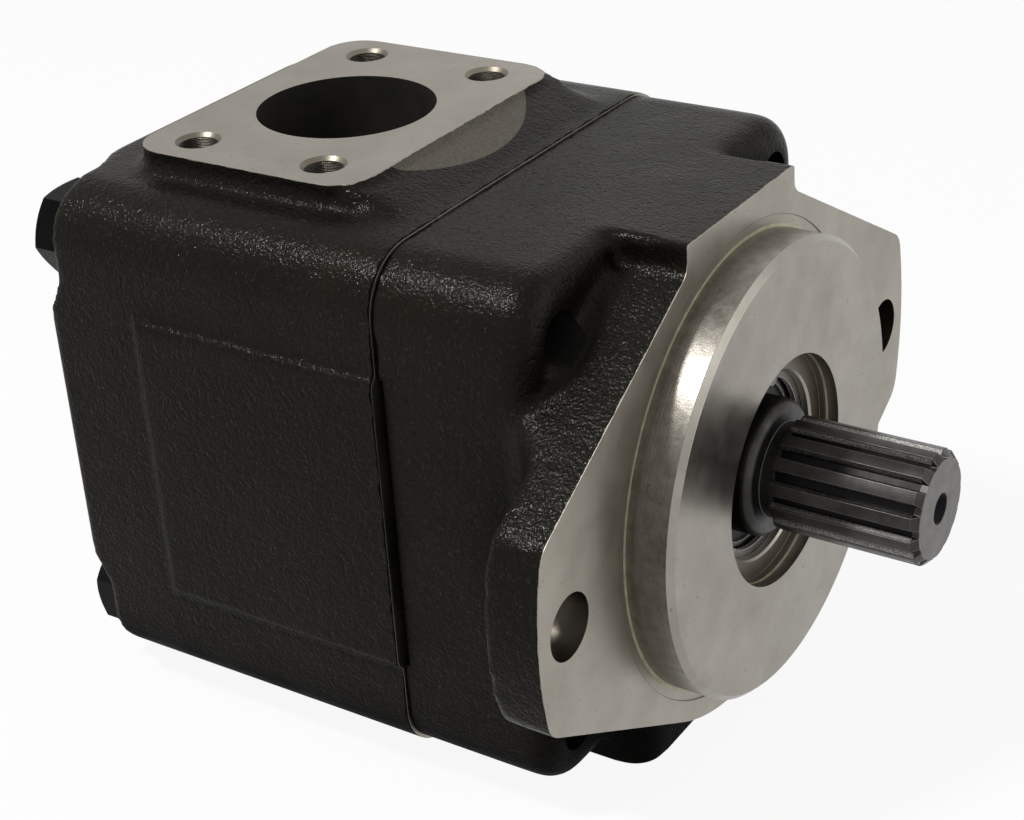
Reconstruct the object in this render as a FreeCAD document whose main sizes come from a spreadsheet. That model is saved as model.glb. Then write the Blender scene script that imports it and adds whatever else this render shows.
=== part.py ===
"""Hydraulic vane pump: flanged front housing, rear housing, splined shaft and vane cartridge.

The origin is the centre of the mounting flange face, on the shaft axis. +X points out of the drive
end, +Z points up through the suction port. Lengths are in millimetres.
"""
import FreeCAD, Part
import Sketcher
import math
import os
import re
from FreeCAD import Placement, Rotation, Vector

SIZES = {
    # Mounting flange and pilot
    "pilot_radius": 63.5,
    "pilot_height": 12.7,
    "pilot_chamfer": 1.6,
    "relief_radius": 67.0,
    "relief_depth": 0.4,
    "flange_bolt_reach": 90.5,
    "flange_bolt_radius": 8.75,
    "flange_edge_inset": 1.5,
    "flange_lug_margin": 14.0,
    "flange_slope": 30.0,
    "lug_thickness": 15.0,
    "lug_corner_radius": 8.0,
    "lug_back_radius": 14.0,
    "neck_half_width": 29.5,
    "pocket_radius": 4.0,
    # Front housing
    "casting_step": 0.7,
    "corner_radius": 17.0,
    "joint_setback": 65.0,
    "boss_setback": 20.0,
    "boss_rounding": 7.0,
    "pry_slot_width": 1.8,
    "pry_slot_depth": 1.6,
    "pry_slot_half_height": 43.0,
    # Rear housing
    "side_wall": 8.6,
    "top_wall": 10.2,
    "rear_length": 112.8,
    "rear_floor_depth": 5.8,
    "rear_scallop_radius": 25.0,
    "rear_seat_radius": 17.4,
    "rear_edge_radius": 2.5,
    "side_pad_proud": 2.0,
    "side_pad_length": 80.0,
    "side_pad_half_height": 43.0,
    "side_pad_rounding": 1.2,
    # Screws that hold the two housings together
    "screw_inset": 15.4,
    "screw_shank_radius": 8.0,
    "screw_hole_radius": 8.75,
    "screw_thread_radius": 6.9,
    "tapped_hole_radius": 7.0,
    "screw_thread_length": 38.0,
    "screw_length": 140.0,
    "screw_head_flats": 24.0,
    "screw_head_height": 10.0,
    # Suction port on the top
    "suction_setback": 124.25,
    "suction_pad_rise": 6.9,
    "suction_bore_radius": 25.4,
    "suction_bore_depth": 12.0,
    "suction_core_step": 1.0,
    "suction_core_depth": 36.6,
    "suction_bolts_along": 21.45,
    "suction_bolts_across": 38.9,
    "suction_tap_radius": 5.1,
    "suction_tap_depth": 22.0,
    "suction_tap_chamfer": 1.9,
    "suction_pad_back": 36.9,
    "suction_pad_front": 38.7,
    "suction_pad_half_width": 51.0,
    "suction_pad_corner": 11.0,
    "suction_pad_flare": 4.0,
    "ramp_half_width": 48.5,
    "ramp_flare": 4.5,
    "ramp_foot_setback": 68.5,
    # Outlet port on the bottom
    "outlet_setback": 37.25,
    "outlet_pad_rise": 7.5,
    "outlet_bore_radius": 15.9,
    "outlet_bolts_along": 15.1,
    "outlet_bolts_across": 29.35,
    "outlet_tap_radius": 4.3,
    "outlet_tap_depth": 19.0,
    "outlet_tap_chamfer": 1.2,
    "outlet_pad_half_length": 27.0,
    "outlet_pad_half_width": 39.0,
    "outlet_pad_corner": 9.0,
    # Bores of the front housing, from the pilot face back
    "recess_radius": 32.0,
    "recess_depth": 5.6,
    "seal_bore_radius": 26.0,
    "seal_lead_in": 0.6,
    "seal_seat_setback": 4.9,
    "web_thickness": 1.5,
    "web_hole_radius": 21.0,
    "circlip_room_radius": 29.0,
    "bearing_setback": 8.5,
    "bearing_outer_radius": 34.0,
    "bearing_inner_radius": 20.0,
    "bearing_width": 15.0,
    "hub_bore_radius": 36.0,
    "hub_bore_setback": 28.0,
    "chamber_inner_radius": 41.0,
    "chamber_outer_radius": 58.0,
    "chamber_setback": 34.0,
    "chamber_wall_setback": 52.0,
    "spigot_step": 2.0,
    "spigot_depth": 8.0,
    # Bores of the rear housing
    "cavity_room": 5.0,
    "inlet_hub_radius": 33.0,
    "inlet_hub_length": 13.0,
    "hub_end_room": 0.5,
    # Bearing and rings
    "ball_count": 9,
    "ball_radius": 4.75,
    "ball_clearance": 0.12,
    "race_thickness": 4.0,
    "cage_half_thickness": 1.0,
    "cage_half_width": 6.0,
    "snap_ring_thickness": 1.5,
    "snap_ring_width": 3.4,
    "snap_ring_groove": 1.3,
    "snap_ring_gap": 12.0,
    "snap_ring_ear": 5.2,
    "snap_ring_setin": 9.7,
    "ring_clearance": 0.1,
    "circlip_thickness": 1.75,
    "circlip_groove": 1.2,
    "circlip_width": 2.9,
    "circlip_gap": 6.0,
    "circlip_ear": 4.4,
    "ear_overlap": 1.0,
    "ear_hole_radius": 1.0,
    # Shaft seal
    "seal_width": 7.0,
    "seal_case_thickness": 1.2,
    "seal_lip_width": 1.6,
    "seal_running_gap": 0.05,
    "seal_spring_radius": 0.8,
    # Drive shaft
    "shaft_length_out": 56.0,
    "spline_teeth": 14,
    "spline_major_radius": 15.61,
    "spline_root_radius": 13.5,
    "spline_gap_root": 1.9,
    "spline_gap_top": 3.8,
    "spline_turn": 15.4,
    "spline_start": 15.0,
    "spline_end_chamfer": 1.9,
    "neck_radius": 13.3,
    "centre_hole_radius": 4.3,
    "centre_hole_depth": 4.0,
    "centre_drill_radius": 2.0,
    "centre_drill_depth": 10.0,
    "journal_radius": 19.0,
    "journal_front": 11.0,
    "journal_rounding": 3.0,
    "journal_back": 5.0,
    "shoulder_radius": 23.0,
    "shoulder_end": 40.0,
    "mid_shaft_radius": 19.4,
    "rotor_spline_radius": 18.0,
    "rotor_spline_root": 16.7,
    "rotor_spline_teeth": 16,
    "rotor_spline_gap": 3.4,
    "tail_radius": 16.5,
    "tail_end_room": 3.0,
    "shaft_fit": 0.03,
    # Vane cartridge
    "outlet_plate_thickness": 20.0,
    "outlet_hub_length": 13.0,
    "wear_plate_thickness": 3.0,
    "ring_width": 42.0,
    "ring_outer_radius": 60.0,
    "cam_minor_radius": 41.0,
    "cam_major_radius": 46.0,
    "cam_dwell_half_angle": 15.0,
    "inlet_plate_thickness": 20.0,
    "plate_bore_radius": 20.5,
    "plate_fit": 0.05,
    "side_clearance": 0.05,
    "rotor_radius": 40.7,
    "vane_count": 12,
    "vane_thickness": 4.8,
    "vane_root_radius": 27.5,
    "vane_rest_radius": 40.2,
    "vane_tip_rounding": 2.3,
    "vane_fit": 0.03,
    "under_vane_radius": 27.0,
    "under_vane_hole": 3.1,
    "insert_width": 16.0,
    "insert_root_radius": 25.5,
    "insert_height": 7.0,
    "insert_room": 0.5,
    "window_angle": 46.0,
    "window_inner_radius": 40.0,
    "window_outer_radius": 46.0,
    "inlet_window_depth": 9.0,
    "bush_thickness": 2.5,
    "bush_length": 22.0,
    # Small screws and dowels that hold the cartridge together
    "tie_margin": 6.0,
    "tie_radius": 3.0,
    "tie_hole_radius": 3.3,
    "tie_head_radius": 5.0,
    "tie_head_height": 6.0,
    "tie_head_room": 0.5,
    "tie_socket_flats": 5.0,
    "tie_socket_depth": 3.0,
    "tie_thread_depth": 12.0,
    "dowel_radius": 2.5,
    "dowel_depth": 8.0,
    # Ring seals
    "seal_section": 1.3,
    "seal_groove_room": 0.05,
    "seal_groove_half_width": 1.7,
    "joint_seal_margin": 6.6,
}

# Sizes that follow from others: the castings are built up round the cam ring
FORMULAS = {
    "cavity_radius": "=ring_outer_radius + cavity_room",
    "spigot_radius": "=ring_outer_radius + spigot_step",
    "tie_reach": "=ring_outer_radius - tie_margin",
    "joint_seal_radius": "=spigot_radius + joint_seal_margin",
    "rear_half_width": "=cavity_radius + side_wall",
    "rear_half_height": "=cavity_radius + top_wall",
    "front_half_width": "=rear_half_width - casting_step",
    "front_half_height": "=rear_half_height - casting_step",
    "screw_reach": "=front_half_width - screw_inset",
    "flange_edge_reach": "=front_half_height - flange_edge_inset",
}
CELLS = SIZES | FORMULAS

doc = FreeCAD.newDocument("vane_pump")
sheet = doc.addObject("Spreadsheet::Sheet", "Sizes")
for row, (name, entry) in enumerate(CELLS.items(), start=1):
    sheet.set(f"A{row}", name)
    sheet.set(f"B{row}", str(entry))
    sheet.setAlias(f"B{row}", name)
doc.recompute()

# Places along the shaft axis, as expressions of the sizes
JOINT = "(-joint_setback)"
PLATE_SEAT = "(spigot_depth - joint_setback)"
OUTLET_BACK = f"({PLATE_SEAT} - outlet_plate_thickness)"
RING_FRONT = f"({OUTLET_BACK} - wear_plate_thickness)"
RING_BACK = f"({RING_FRONT} - ring_width)"
INLET_FRONT = f"({RING_BACK} - wear_plate_thickness)"
INLET_BACK = f"({INLET_FRONT} - inlet_plate_thickness)"
REAR_FACE = "(-joint_setback - rear_length)"
SCREW_SEAT = f"({REAR_FACE} + rear_floor_depth)"
BEARING_BACK = "(-bearing_setback - bearing_width)"
BEARING_PITCH = "((bearing_inner_radius + bearing_outer_radius) / 2)"
SHAFT_END = f"({INLET_BACK} - inlet_hub_length + tail_end_room)"
LUG_REACH = "(flange_bolt_reach + flange_lug_margin)"
LUG_CORNER = f"sqrt({LUG_REACH} ^ 2 - flange_edge_reach ^ 2)"
SUCTION_FACE = "(rear_half_height + suction_pad_rise)"
OUTLET_FACE = "(front_half_height + outlet_pad_rise)"
SINE = "sin(flange_slope * 1deg)"
COSINE = "cos(flange_slope * 1deg)"


def size(name):
    """The value of one cell."""
    return float(sheet.get(name))


def bound(text):
    """An expression with every size name pointed at its cell."""
    return re.sub(r"[a-z_]{3,}", lambda word: f"Sizes.{word[0]}" if word[0] in CELLS else word[0], text)


def new_body(label):
    body = doc.addObject("PartDesign::Body", label)
    body.Label = label
    return body


def origin_part(body, role):
    """A plane or axis of the body's own origin."""
    return next(part for part in body.Origin.OriginFeatures if part.Role == role)


def new_sketch(body, plane, offset="0"):
    """A sketch on an origin plane of the body, shifted along the plane's normal."""
    sketch = body.newObject("Sketcher::SketchObject", f"{body.Label}_sketch")
    sketch.AttachmentSupport = [(origin_part(body, plane), "")]
    sketch.MapMode = "FlatFace"
    sketch.setExpression("AttachmentOffset.Base.z", bound(offset))
    return sketch


def bind(sketch, kind, *target):
    """A dimension of the sketch, driven by the expression that comes last."""
    index = sketch.addConstraint(Sketcher.Constraint(kind, *target[:-1], 1.0))
    sketch.setExpression(f"Constraints[{index}]", bound(target[-1]))


def add_polygon(sketch, points):
    """A closed outline of straight lines through points given as pairs of expressions."""
    first, count = sketch.GeometryCount, len(points)
    turns = [2 * math.pi * i / count for i in range(count + 1)]
    rough = [Vector(10 * math.cos(turn), 10 * math.sin(turn), 0) for turn in turns]
    for start, end in zip(rough, rough[1:]):
        sketch.addGeometry(Part.LineSegment(start, end), False)
    for i, (across, up) in enumerate(points):
        before = first + (i - 1) % count
        sketch.addConstraint(Sketcher.Constraint("Coincident", before, 2, first + i, 1))
        bind(sketch, "DistanceX", first + i, 1, across)
        bind(sketch, "DistanceY", first + i, 1, up)
    return sketch


def add_circle(sketch, across, up, radius):
    """A circle whose centre and radius are expressions."""
    index = sketch.addGeometry(Part.Circle(Vector(1, 1, 0), Vector(0, 0, 1), 1.0), False)
    bind(sketch, "DistanceX", index, 3, across)
    bind(sketch, "DistanceY", index, 3, up)
    bind(sketch, "Radius", index, radius)
    return sketch


def add_box(sketch, left, right, low, high):
    """A rectangle between four expressions."""
    return add_polygon(sketch, [(left, low), (right, low), (right, high), (left, high)])


def add_hexagon(sketch, corner):
    """A regular hexagon whose corners lie this far from the sketch's origin."""
    turns = [f"{60 * i}deg" for i in range(6)]
    add_polygon(sketch, [(f"{corner} * cos({angle})", f"{corner} * sin({angle})") for angle in turns])


def extrude(body, kind, sketch, length, reverse=False, both=False):
    """A Pad or Pocket of the sketch, along the sketch's normal or against it."""
    feature = body.newObject(f"PartDesign::{kind}", f"{body.Label}_{kind.lower()}")
    feature.Profile = sketch
    feature.Reversed = reverse
    feature.Midplane = both
    feature.setExpression("Length", bound(length))
    sketch.Visibility = False
    return feature


def turn(body, kind, sketch, angle="360"):
    """A Revolution or Groove of the sketch about the shaft axis."""
    feature = body.newObject(f"PartDesign::{kind}", f"{body.Label}_{kind.lower()}")
    feature.Profile = sketch
    feature.ReferenceAxis = (sketch, ["H_Axis"])
    feature.Midplane = True
    feature.setExpression("Angle", bound(angle))
    return feature


def around(body, feature, count, axis="X_Axis"):
    """Copies of a feature evenly spaced about an axis of the body."""
    pattern = body.newObject("PartDesign::PolarPattern", f"{body.Label}_pattern")
    pattern.Originals = [feature]
    pattern.Axis = (origin_part(body, axis), [""])
    pattern.Angle = 360
    pattern.setExpression("Occurrences", bound(count))
    body.Tip = pattern
    return pattern


def dress(body, kind, amount, chosen):
    """A Fillet or Chamfer on the edges of the body that pass the test."""
    doc.recompute()
    base = body.Tip
    names = [f"Edge{i}" for i, edge in enumerate(base.Shape.Edges, start=1) if chosen(edge)]
    if not names:
        raise RuntimeError(f"{body.Label}: no edge for its {kind}")
    feature = body.newObject(f"PartDesign::{kind}", f"{body.Label}_{kind.lower()}")
    feature.Base = (base, names)
    feature.setExpression("Radius" if kind == "Fillet" else "Size", bound(amount))
    return feature


def along(edge, axis):
    """Is the edge straight and parallel to this axis?"""
    if not isinstance(edge.Curve, Part.Line):
        return False
    return abs(abs(edge.Curve.Direction.dot(axis)) - 1) < 1e-6


def from_axis(edge):
    """Distance of the edge's first end from the shaft axis."""
    start = edge.Vertexes[0].Point
    return math.hypot(start.y, start.z)


def near(value, target):
    return abs(value - target) < 1e-3


def is_circle(edge, radius, **place):
    """Is the edge a circle of this radius, with its centre at the given coordinates?"""
    if not isinstance(edge.Curve, Part.Circle) or not near(edge.Curve.Radius, radius):
        return False
    return all(near(getattr(edge.Curve.Center, axis), value) for axis, value in place.items())


X, Y, Z = Vector(1, 0, 0), Vector(0, 1, 0), Vector(0, 0, 1)
CORNERS = [(1, 1), (-1, 1), (-1, -1), (1, -1)]


def four_taps(body, setback, along_x, across_y, face, radius, depth, chamfer, upward):
    """Four blind tapped holes round a port, each with a lead-in chamfer."""
    for sign_x, sign_y in CORNERS:
        sketch = new_sketch(body, "XY_Plane", face)
        centre = f"{sign_x} * {along_x} - {setback}"
        add_circle(sketch, centre, f"{sign_y} * {across_y}", radius)
        extrude(body, "Pocket", sketch, depth, reverse=not upward)
    height = suction_face() if upward else -outlet_face()
    dress(body, "Chamfer", chamfer, lambda edge: is_circle(edge, size(radius), z=height))


def suction_face():
    """Height of the suction port's face above the shaft axis."""
    return size("rear_half_height") + size("suction_pad_rise")


def outlet_face():
    """Depth of the outlet port's face below the shaft axis."""
    return size("front_half_height") + size("outlet_pad_rise")


def front_housing():
    """The cast front housing: mounting flange, pilot, neck, screw bosses and outlet port."""
    body = new_body("front_housing")
    section = new_sketch(body, "YZ_Plane", JOINT)
    add_box(section, "-front_half_width", "front_half_width", "-front_half_height", "front_half_height")
    extrude(body, "Pad", section, "joint_setback - boss_setback")
    dress(body, "Fillet", "corner_radius", lambda edge: along(edge, X))
    boss = -size("boss_setback")
    dress(body, "Fillet", "boss_rounding", lambda edge: all(near(v.X, boss) for v in edge.Vertexes))

    # Flange: two lugs whose edges slope away from a flat-topped neck, and a round bottom
    flange = new_sketch(body, "YZ_Plane", "-lug_thickness - lug_back_radius")
    neck_foot = f"(flange_edge_reach - neck_half_width * {SINE}) / {COSINE}"
    lug_y = f"(flange_edge_reach * {SINE} + {LUG_CORNER} * {COSINE})"
    lug_z = f"(flange_edge_reach * {COSINE} - {LUG_CORNER} * {SINE})"
    foot_y = f"flange_edge_reach * {SINE}"
    foot_z = f"-flange_edge_reach * {COSINE}"
    right = [
        ("neck_half_width", "front_half_height"),
        ("neck_half_width", neck_foot),
        (lug_y, lug_z),
        (f"{LUG_REACH} + lug_thickness", lug_z),
        (f"{LUG_REACH} + lug_thickness", f"-{lug_z}"),
        (lug_y, f"-{lug_z}"),
        (foot_y, foot_z),
    ]
    left = [(f"-({across})", up) for across, up in reversed(right)]
    add_polygon(flange, right + left)
    extrude(body, "Pad", flange, "lug_thickness + lug_back_radius")
    disc = add_circle(new_sketch(body, "YZ_Plane", "-boss_setback"), "0", "0", "flange_edge_reach")
    extrude(body, "Pad", disc, "boss_setback")
    lug_ends = new_sketch(body, "YZ_Plane")
    add_circle(lug_ends, "0", "0", LUG_REACH)
    add_circle(lug_ends, "0", "0", f"{LUG_REACH} + 4 * lug_thickness")
    extrude(body, "Pocket", lug_ends, "lug_thickness + lug_back_radius")
    reach = size("flange_bolt_reach") + size("flange_lug_margin")
    dress(body, "Fillet", "lug_corner_radius", lambda edge: along(edge, X) and near(from_axis(edge), reach))

    # The backs of the lugs, each with a wide hollow where it runs into the side wall
    for sign in ("1", "-1"):
        hollow_y = f"{sign} * (front_half_width + lug_back_radius)"
        wall_y = f"{sign} * front_half_width"
        far_y = f"{sign} * ({LUG_REACH} + lug_thickness)"
        lug_back, hollow_x = "-lug_thickness", "-lug_thickness - lug_back_radius"
        back = f"{hollow_x} - 1"
        sketch = new_sketch(body, "XY_Plane")
        outline = [(back, wall_y), (hollow_x, wall_y), (hollow_x, hollow_y), (lug_back, hollow_y)]
        add_polygon(sketch, outline + [(lug_back, far_y), (back, far_y)])
        extrude(body, "Pocket", sketch, "2 * front_half_height", both=True)
        sketch = add_circle(new_sketch(body, "XY_Plane"), hollow_x, hollow_y, "lug_back_radius")
        extrude(body, "Pocket", sketch, "2 * front_half_height", both=True)

    # A soft corner at the foot of each side wall of the neck
    neck = size("neck_half_width")
    dress(body, "Fillet", "pocket_radius", lambda edge: along(edge, X) and is_neck_foot(edge, neck))
    outlet_port(body)
    front_bores(body)
    return body


def is_neck_foot(edge, neck):
    """Does the edge run where the neck's side wall meets a sloping edge of the flange?"""
    start = edge.Vertexes[0].Point
    return near(abs(start.y), neck) and start.z < size("front_half_height") - 1


def outlet_port(body):
    """The pad under the front housing, with its bore and four tapped holes."""
    pad = new_sketch(body, "XY_Plane", f"-{OUTLET_FACE}")
    ends = ("-outlet_setback - outlet_pad_half_length", "outlet_pad_half_length - outlet_setback")
    add_box(pad, *ends, "-outlet_pad_half_width", "outlet_pad_half_width")
    extrude(body, "Pad", pad, f"{OUTLET_FACE} - chamber_outer_radius")
    face, corner = -outlet_face(), "outlet_pad_corner"
    dress(body, "Fillet", corner, lambda edge: along(edge, Z) and near(min(v.Z for v in edge.Vertexes), face))
    bore = new_sketch(body, "XY_Plane", f"-{OUTLET_FACE}")
    add_circle(bore, "-outlet_setback", "0", "outlet_bore_radius")
    depth = f"{OUTLET_FACE} - (chamber_inner_radius + chamber_outer_radius) / 2"
    extrude(body, "Pocket", bore, depth, reverse=True)
    port = ("outlet_setback", "outlet_bolts_along", "outlet_bolts_across", f"-{OUTLET_FACE}")
    four_taps(body, *port, "outlet_tap_radius", "outlet_tap_depth", "outlet_tap_chamfer", False)


def front_bores(body):
    """The pilot and everything that is turned or drilled in the front housing."""
    pilot = add_circle(new_sketch(body, "YZ_Plane"), "0", "0", "pilot_radius")
    extrude(body, "Pad", pilot, "pilot_height")
    face = size("pilot_height")
    dress(body, "Chamfer", "pilot_chamfer", lambda edge: is_circle(edge, size("pilot_radius"), x=face))
    relief = new_sketch(body, "YZ_Plane")
    add_circle(relief, "0", "0", "relief_radius")
    add_circle(relief, "0", "0", "pilot_radius")
    extrude(body, "Pocket", relief, "relief_depth")

    step = "(pilot_height - recess_depth)"
    ring_front = "(pilot_height - snap_ring_setin + snap_ring_thickness)"
    ring_back = "(pilot_height - snap_ring_setin)"
    seal_groove = "(seal_bore_radius + snap_ring_groove)"
    web_back = "(-seal_seat_setback - web_thickness)"
    keeper_back = f"({BEARING_BACK} - snap_ring_thickness)"
    keeper_groove = "(bearing_outer_radius + snap_ring_groove)"
    bores = new_sketch(body, "XZ_Plane")
    add_polygon(
        bores,
        [
            ("pilot_height + 1", "0"),
            ("pilot_height + 1", "recess_radius"),
            (step, "recess_radius"),
            (step, "seal_bore_radius + seal_lead_in"),
            (f"{step} - seal_lead_in", "seal_bore_radius"),
            (ring_front, "seal_bore_radius"),
            (ring_front, seal_groove),
            (ring_back, seal_groove),
            (ring_back, "seal_bore_radius"),
            ("-seal_seat_setback", "seal_bore_radius"),
            ("-seal_seat_setback", "web_hole_radius"),
            (web_back, "web_hole_radius"),
            (web_back, "circlip_room_radius"),
            ("-bearing_setback", "circlip_room_radius"),
            ("-bearing_setback", "bearing_outer_radius"),
            (BEARING_BACK, "bearing_outer_radius"),
            (BEARING_BACK, keeper_groove),
            (keeper_back, keeper_groove),
            (keeper_back, "bearing_outer_radius"),
            ("-hub_bore_setback", "bearing_outer_radius"),
            ("-hub_bore_setback", "hub_bore_radius"),
            ("-chamber_wall_setback", "hub_bore_radius"),
            ("-chamber_wall_setback", "chamber_inner_radius"),
            ("-chamber_setback", "chamber_inner_radius"),
            ("-chamber_setback", "chamber_outer_radius"),
            (PLATE_SEAT, "chamber_outer_radius"),
            (PLATE_SEAT, "spigot_radius"),
            (f"{JOINT} - 1", "spigot_radius"),
            (f"{JOINT} - 1", "0"),
        ],
    )
    turn(body, "Groove", bores)
    groove = new_sketch(body, "XZ_Plane")
    low, high = "joint_seal_radius - seal_groove_half_width", "joint_seal_radius + seal_groove_half_width"
    floor = f"{JOINT} + 2 * seal_section + seal_groove_room"
    turn(body, "Groove", add_box(groove, f"{JOINT} - 1", floor, low, high))

    # Mounting holes in the lugs, and tapped holes for the housing screws in the corner bosses
    for sign in ("1", "-1"):
        hole = new_sketch(body, "YZ_Plane")
        add_circle(hole, f"{sign} * flange_bolt_reach", "0", "flange_bolt_radius")
        extrude(body, "Pocket", hole, "lug_thickness + lug_back_radius")
    for sign_y, sign_z in CORNERS:
        hole = new_sketch(body, "YZ_Plane", "pocket_radius - boss_setback")
        add_circle(hole, f"{sign_y} * screw_reach", f"{sign_z} * screw_reach", "tapped_hole_radius")
        extrude(body, "Pocket", hole, "joint_setback - boss_setback + pocket_radius")

    # A shallow slot beside the joint on each side wall
    for sign in ("1", "-1"):
        slot = new_sketch(body, "XY_Plane")
        inner = f"{sign} * (front_half_width - pry_slot_depth)"
        outer = f"{sign} * (front_half_width + 1)"
        add_box(slot, f"{JOINT} - 1", f"{JOINT} + pry_slot_width", inner, outer)
        extrude(body, "Pocket", slot, "2 * pry_slot_half_height", both=True)


def rear_housing():
    """The cast rear housing: suction port on top, cartridge bore, scalloped corners for the screws."""
    body = new_body("rear_housing")
    section = new_sketch(body, "YZ_Plane", REAR_FACE)
    add_box(section, "-rear_half_width", "rear_half_width", "-rear_half_height", "rear_half_height")
    extrude(body, "Pad", section, "rear_length")
    dress(body, "Fillet", "corner_radius", lambda edge: along(edge, X))

    # The rounded rim of the rear face, then the corners cut back for the screw heads
    rear = -size("joint_setback") - size("rear_length")
    dress(body, "Fillet", "rear_edge_radius", lambda edge: all(near(v.X, rear) for v in edge.Vertexes))
    for sign_y, sign_z in CORNERS:
        scallop = new_sketch(body, "YZ_Plane", REAR_FACE)
        add_circle(scallop, f"{sign_y} * screw_reach", f"{sign_z} * screw_reach", "rear_scallop_radius")
        hollow = extrude(body, "Pocket", scallop, "rear_floor_depth", reverse=True)
        spread = "(rear_scallop_radius - rear_seat_radius)"
        hollow.setExpression("TaperAngle", bound(f"-atan({spread} / rear_floor_depth)"))

    # A raised pad on each side wall
    for sign in ("1", "-1"):
        pad = new_sketch(body, "XY_Plane")
        inner = f"{sign} * (rear_half_width - side_pad_proud)"
        outer = f"{sign} * (rear_half_width + side_pad_proud)"
        add_box(pad, f"{JOINT} - side_pad_length", JOINT, inner, outer)
        extrude(body, "Pad", pad, "2 * side_pad_half_height", both=True)
    face = size("rear_half_width") + size("side_pad_proud")
    joint = -size("joint_setback")

    def pad_rim(edge):
        ends = [v.Point for v in edge.Vertexes]
        return all(near(abs(p.y), face) for p in ends) and not all(near(p.x, joint) for p in ends)

    dress(body, "Fillet", "side_pad_rounding", pad_rim)
    suction_port(body)
    rear_bores(body)
    return body


def suction_port(body):
    """The raised pad of the suction port, with a ramp down to the joint."""
    half, corner = "suction_pad_half_width", "suction_pad_corner"
    back, front = "-suction_setback - suction_pad_back", "suction_pad_front - suction_setback"
    pad = new_sketch(body, "XY_Plane", "cavity_radius")
    add_box(pad, back, front, f"-{half}", half)
    extrude(body, "Pad", pad, f"{SUCTION_FACE} - cavity_radius")
    face = suction_face()
    dress(body, "Fillet", corner, lambda edge: along(edge, Z) and near(max(v.Z for v in edge.Vertexes), face))
    top = size("rear_half_height")
    dress(body, "Fillet", "suction_pad_flare", lambda edge: pad_foot(edge, top))

    # Ramp: a wedge whose sides spread towards its foot
    wide, low = "ramp_half_width + ramp_flare", "rear_half_height - ramp_flare"
    head = new_sketch(body, "YZ_Plane", f"{front} - suction_pad_flare")
    top_edge = [("ramp_half_width", SUCTION_FACE), ("-ramp_half_width", SUCTION_FACE)]
    add_polygon(head, [(f"-({wide})", low), (wide, low)] + top_edge)
    foot = new_sketch(body, "YZ_Plane", "-ramp_foot_setback")
    foot_edge = [("ramp_half_width", "rear_half_height"), ("-ramp_half_width", "rear_half_height")]
    add_polygon(foot, [("-ramp_half_width - 1", low), ("ramp_half_width + 1", low)] + foot_edge)
    ramp = body.newObject("PartDesign::AdditiveLoft", "rear_housing_ramp")
    ramp.Profile = head
    ramp.Sections = [foot]
    ramp.Ruled = True

    bored = ("suction_bore_radius", "suction_bore_depth")
    cast = ("suction_bore_radius - suction_core_step", "suction_core_depth")
    for radius, depth in (bored, cast):
        bore = new_sketch(body, "XY_Plane", SUCTION_FACE)
        add_circle(bore, "-suction_setback", "0", radius)
        extrude(body, "Pocket", bore, depth)
    port = ("suction_setback", "suction_bolts_along", "suction_bolts_across", SUCTION_FACE)
    four_taps(body, *port, "suction_tap_radius", "suction_tap_depth", "suction_tap_chamfer", True)


def pad_foot(edge, top):
    """Is the edge where the suction pad meets the flat top of the housing?"""
    inside = size("suction_pad_half_width") + 1
    reach = size("suction_pad_back") + size("suction_pad_front")
    ends = [v.Point for v in edge.Vertexes]
    level = all(near(p.z, top) for p in ends)
    centre = size("suction_setback")
    return level and all(abs(p.y) < inside and abs(p.x + centre) < reach / 2 + 2 for p in ends)


def rear_bores(body):
    """The stepped cartridge bore and the clearance holes for the screws."""
    hub = "(inlet_hub_radius + plate_fit)"
    end = f"{INLET_BACK} - inlet_hub_length - hub_end_room"
    bore = new_sketch(body, "XZ_Plane")
    steps = [(INLET_BACK, "cavity_radius"), (INLET_BACK, hub), (end, hub), (end, "0")]
    add_polygon(bore, [("1 - joint_setback", "0"), ("1 - joint_setback", "cavity_radius")] + steps)
    turn(body, "Groove", bore)
    for sign_y, sign_z in CORNERS:
        hole = new_sketch(body, "YZ_Plane", JOINT)
        add_circle(hole, f"{sign_y} * screw_reach", f"{sign_z} * screw_reach", "screw_hole_radius")
        extrude(body, "Pocket", hole, "rear_length")


def copies(label, body, places):
    """One node that holds the body's solid at each of these placements."""
    doc.recompute()
    node = doc.addObject("Part::Feature", label)
    node.Label = label
    shapes = []
    for place in places:
        shape = body.Shape.Solids[0].copy()
        shape.Placement = place.multiply(shape.Placement)
        shapes.append(shape)
    node.Shape = Part.makeCompound(shapes) if len(shapes) > 1 else shapes[0]
    return node


def about_axis(degrees):
    return Placement(Vector(), Rotation(X, degrees))


def opposite(spot):
    """Placements at a point and at the point across the axis from it."""
    return [about_axis(angle).multiply(Placement(spot, Rotation())) for angle in (0, 180)]


def turned(label, points):
    """A body turned from a profile of (along the shaft, radius) pairs of expressions."""
    body = new_body(label)
    turn(body, "Revolution", add_polygon(new_sketch(body, "XZ_Plane"), points))
    return body


def sleeve(label, back, front, inner, outer):
    """A plain ring between two places on the axis and two radii."""
    return turned(label, [(back, inner), (front, inner), (front, outer), (back, outer)])


# How far each screw head happens to be turned when tight, in degrees
HEAD_TURNS = (21, 4, 38, 55)


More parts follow.
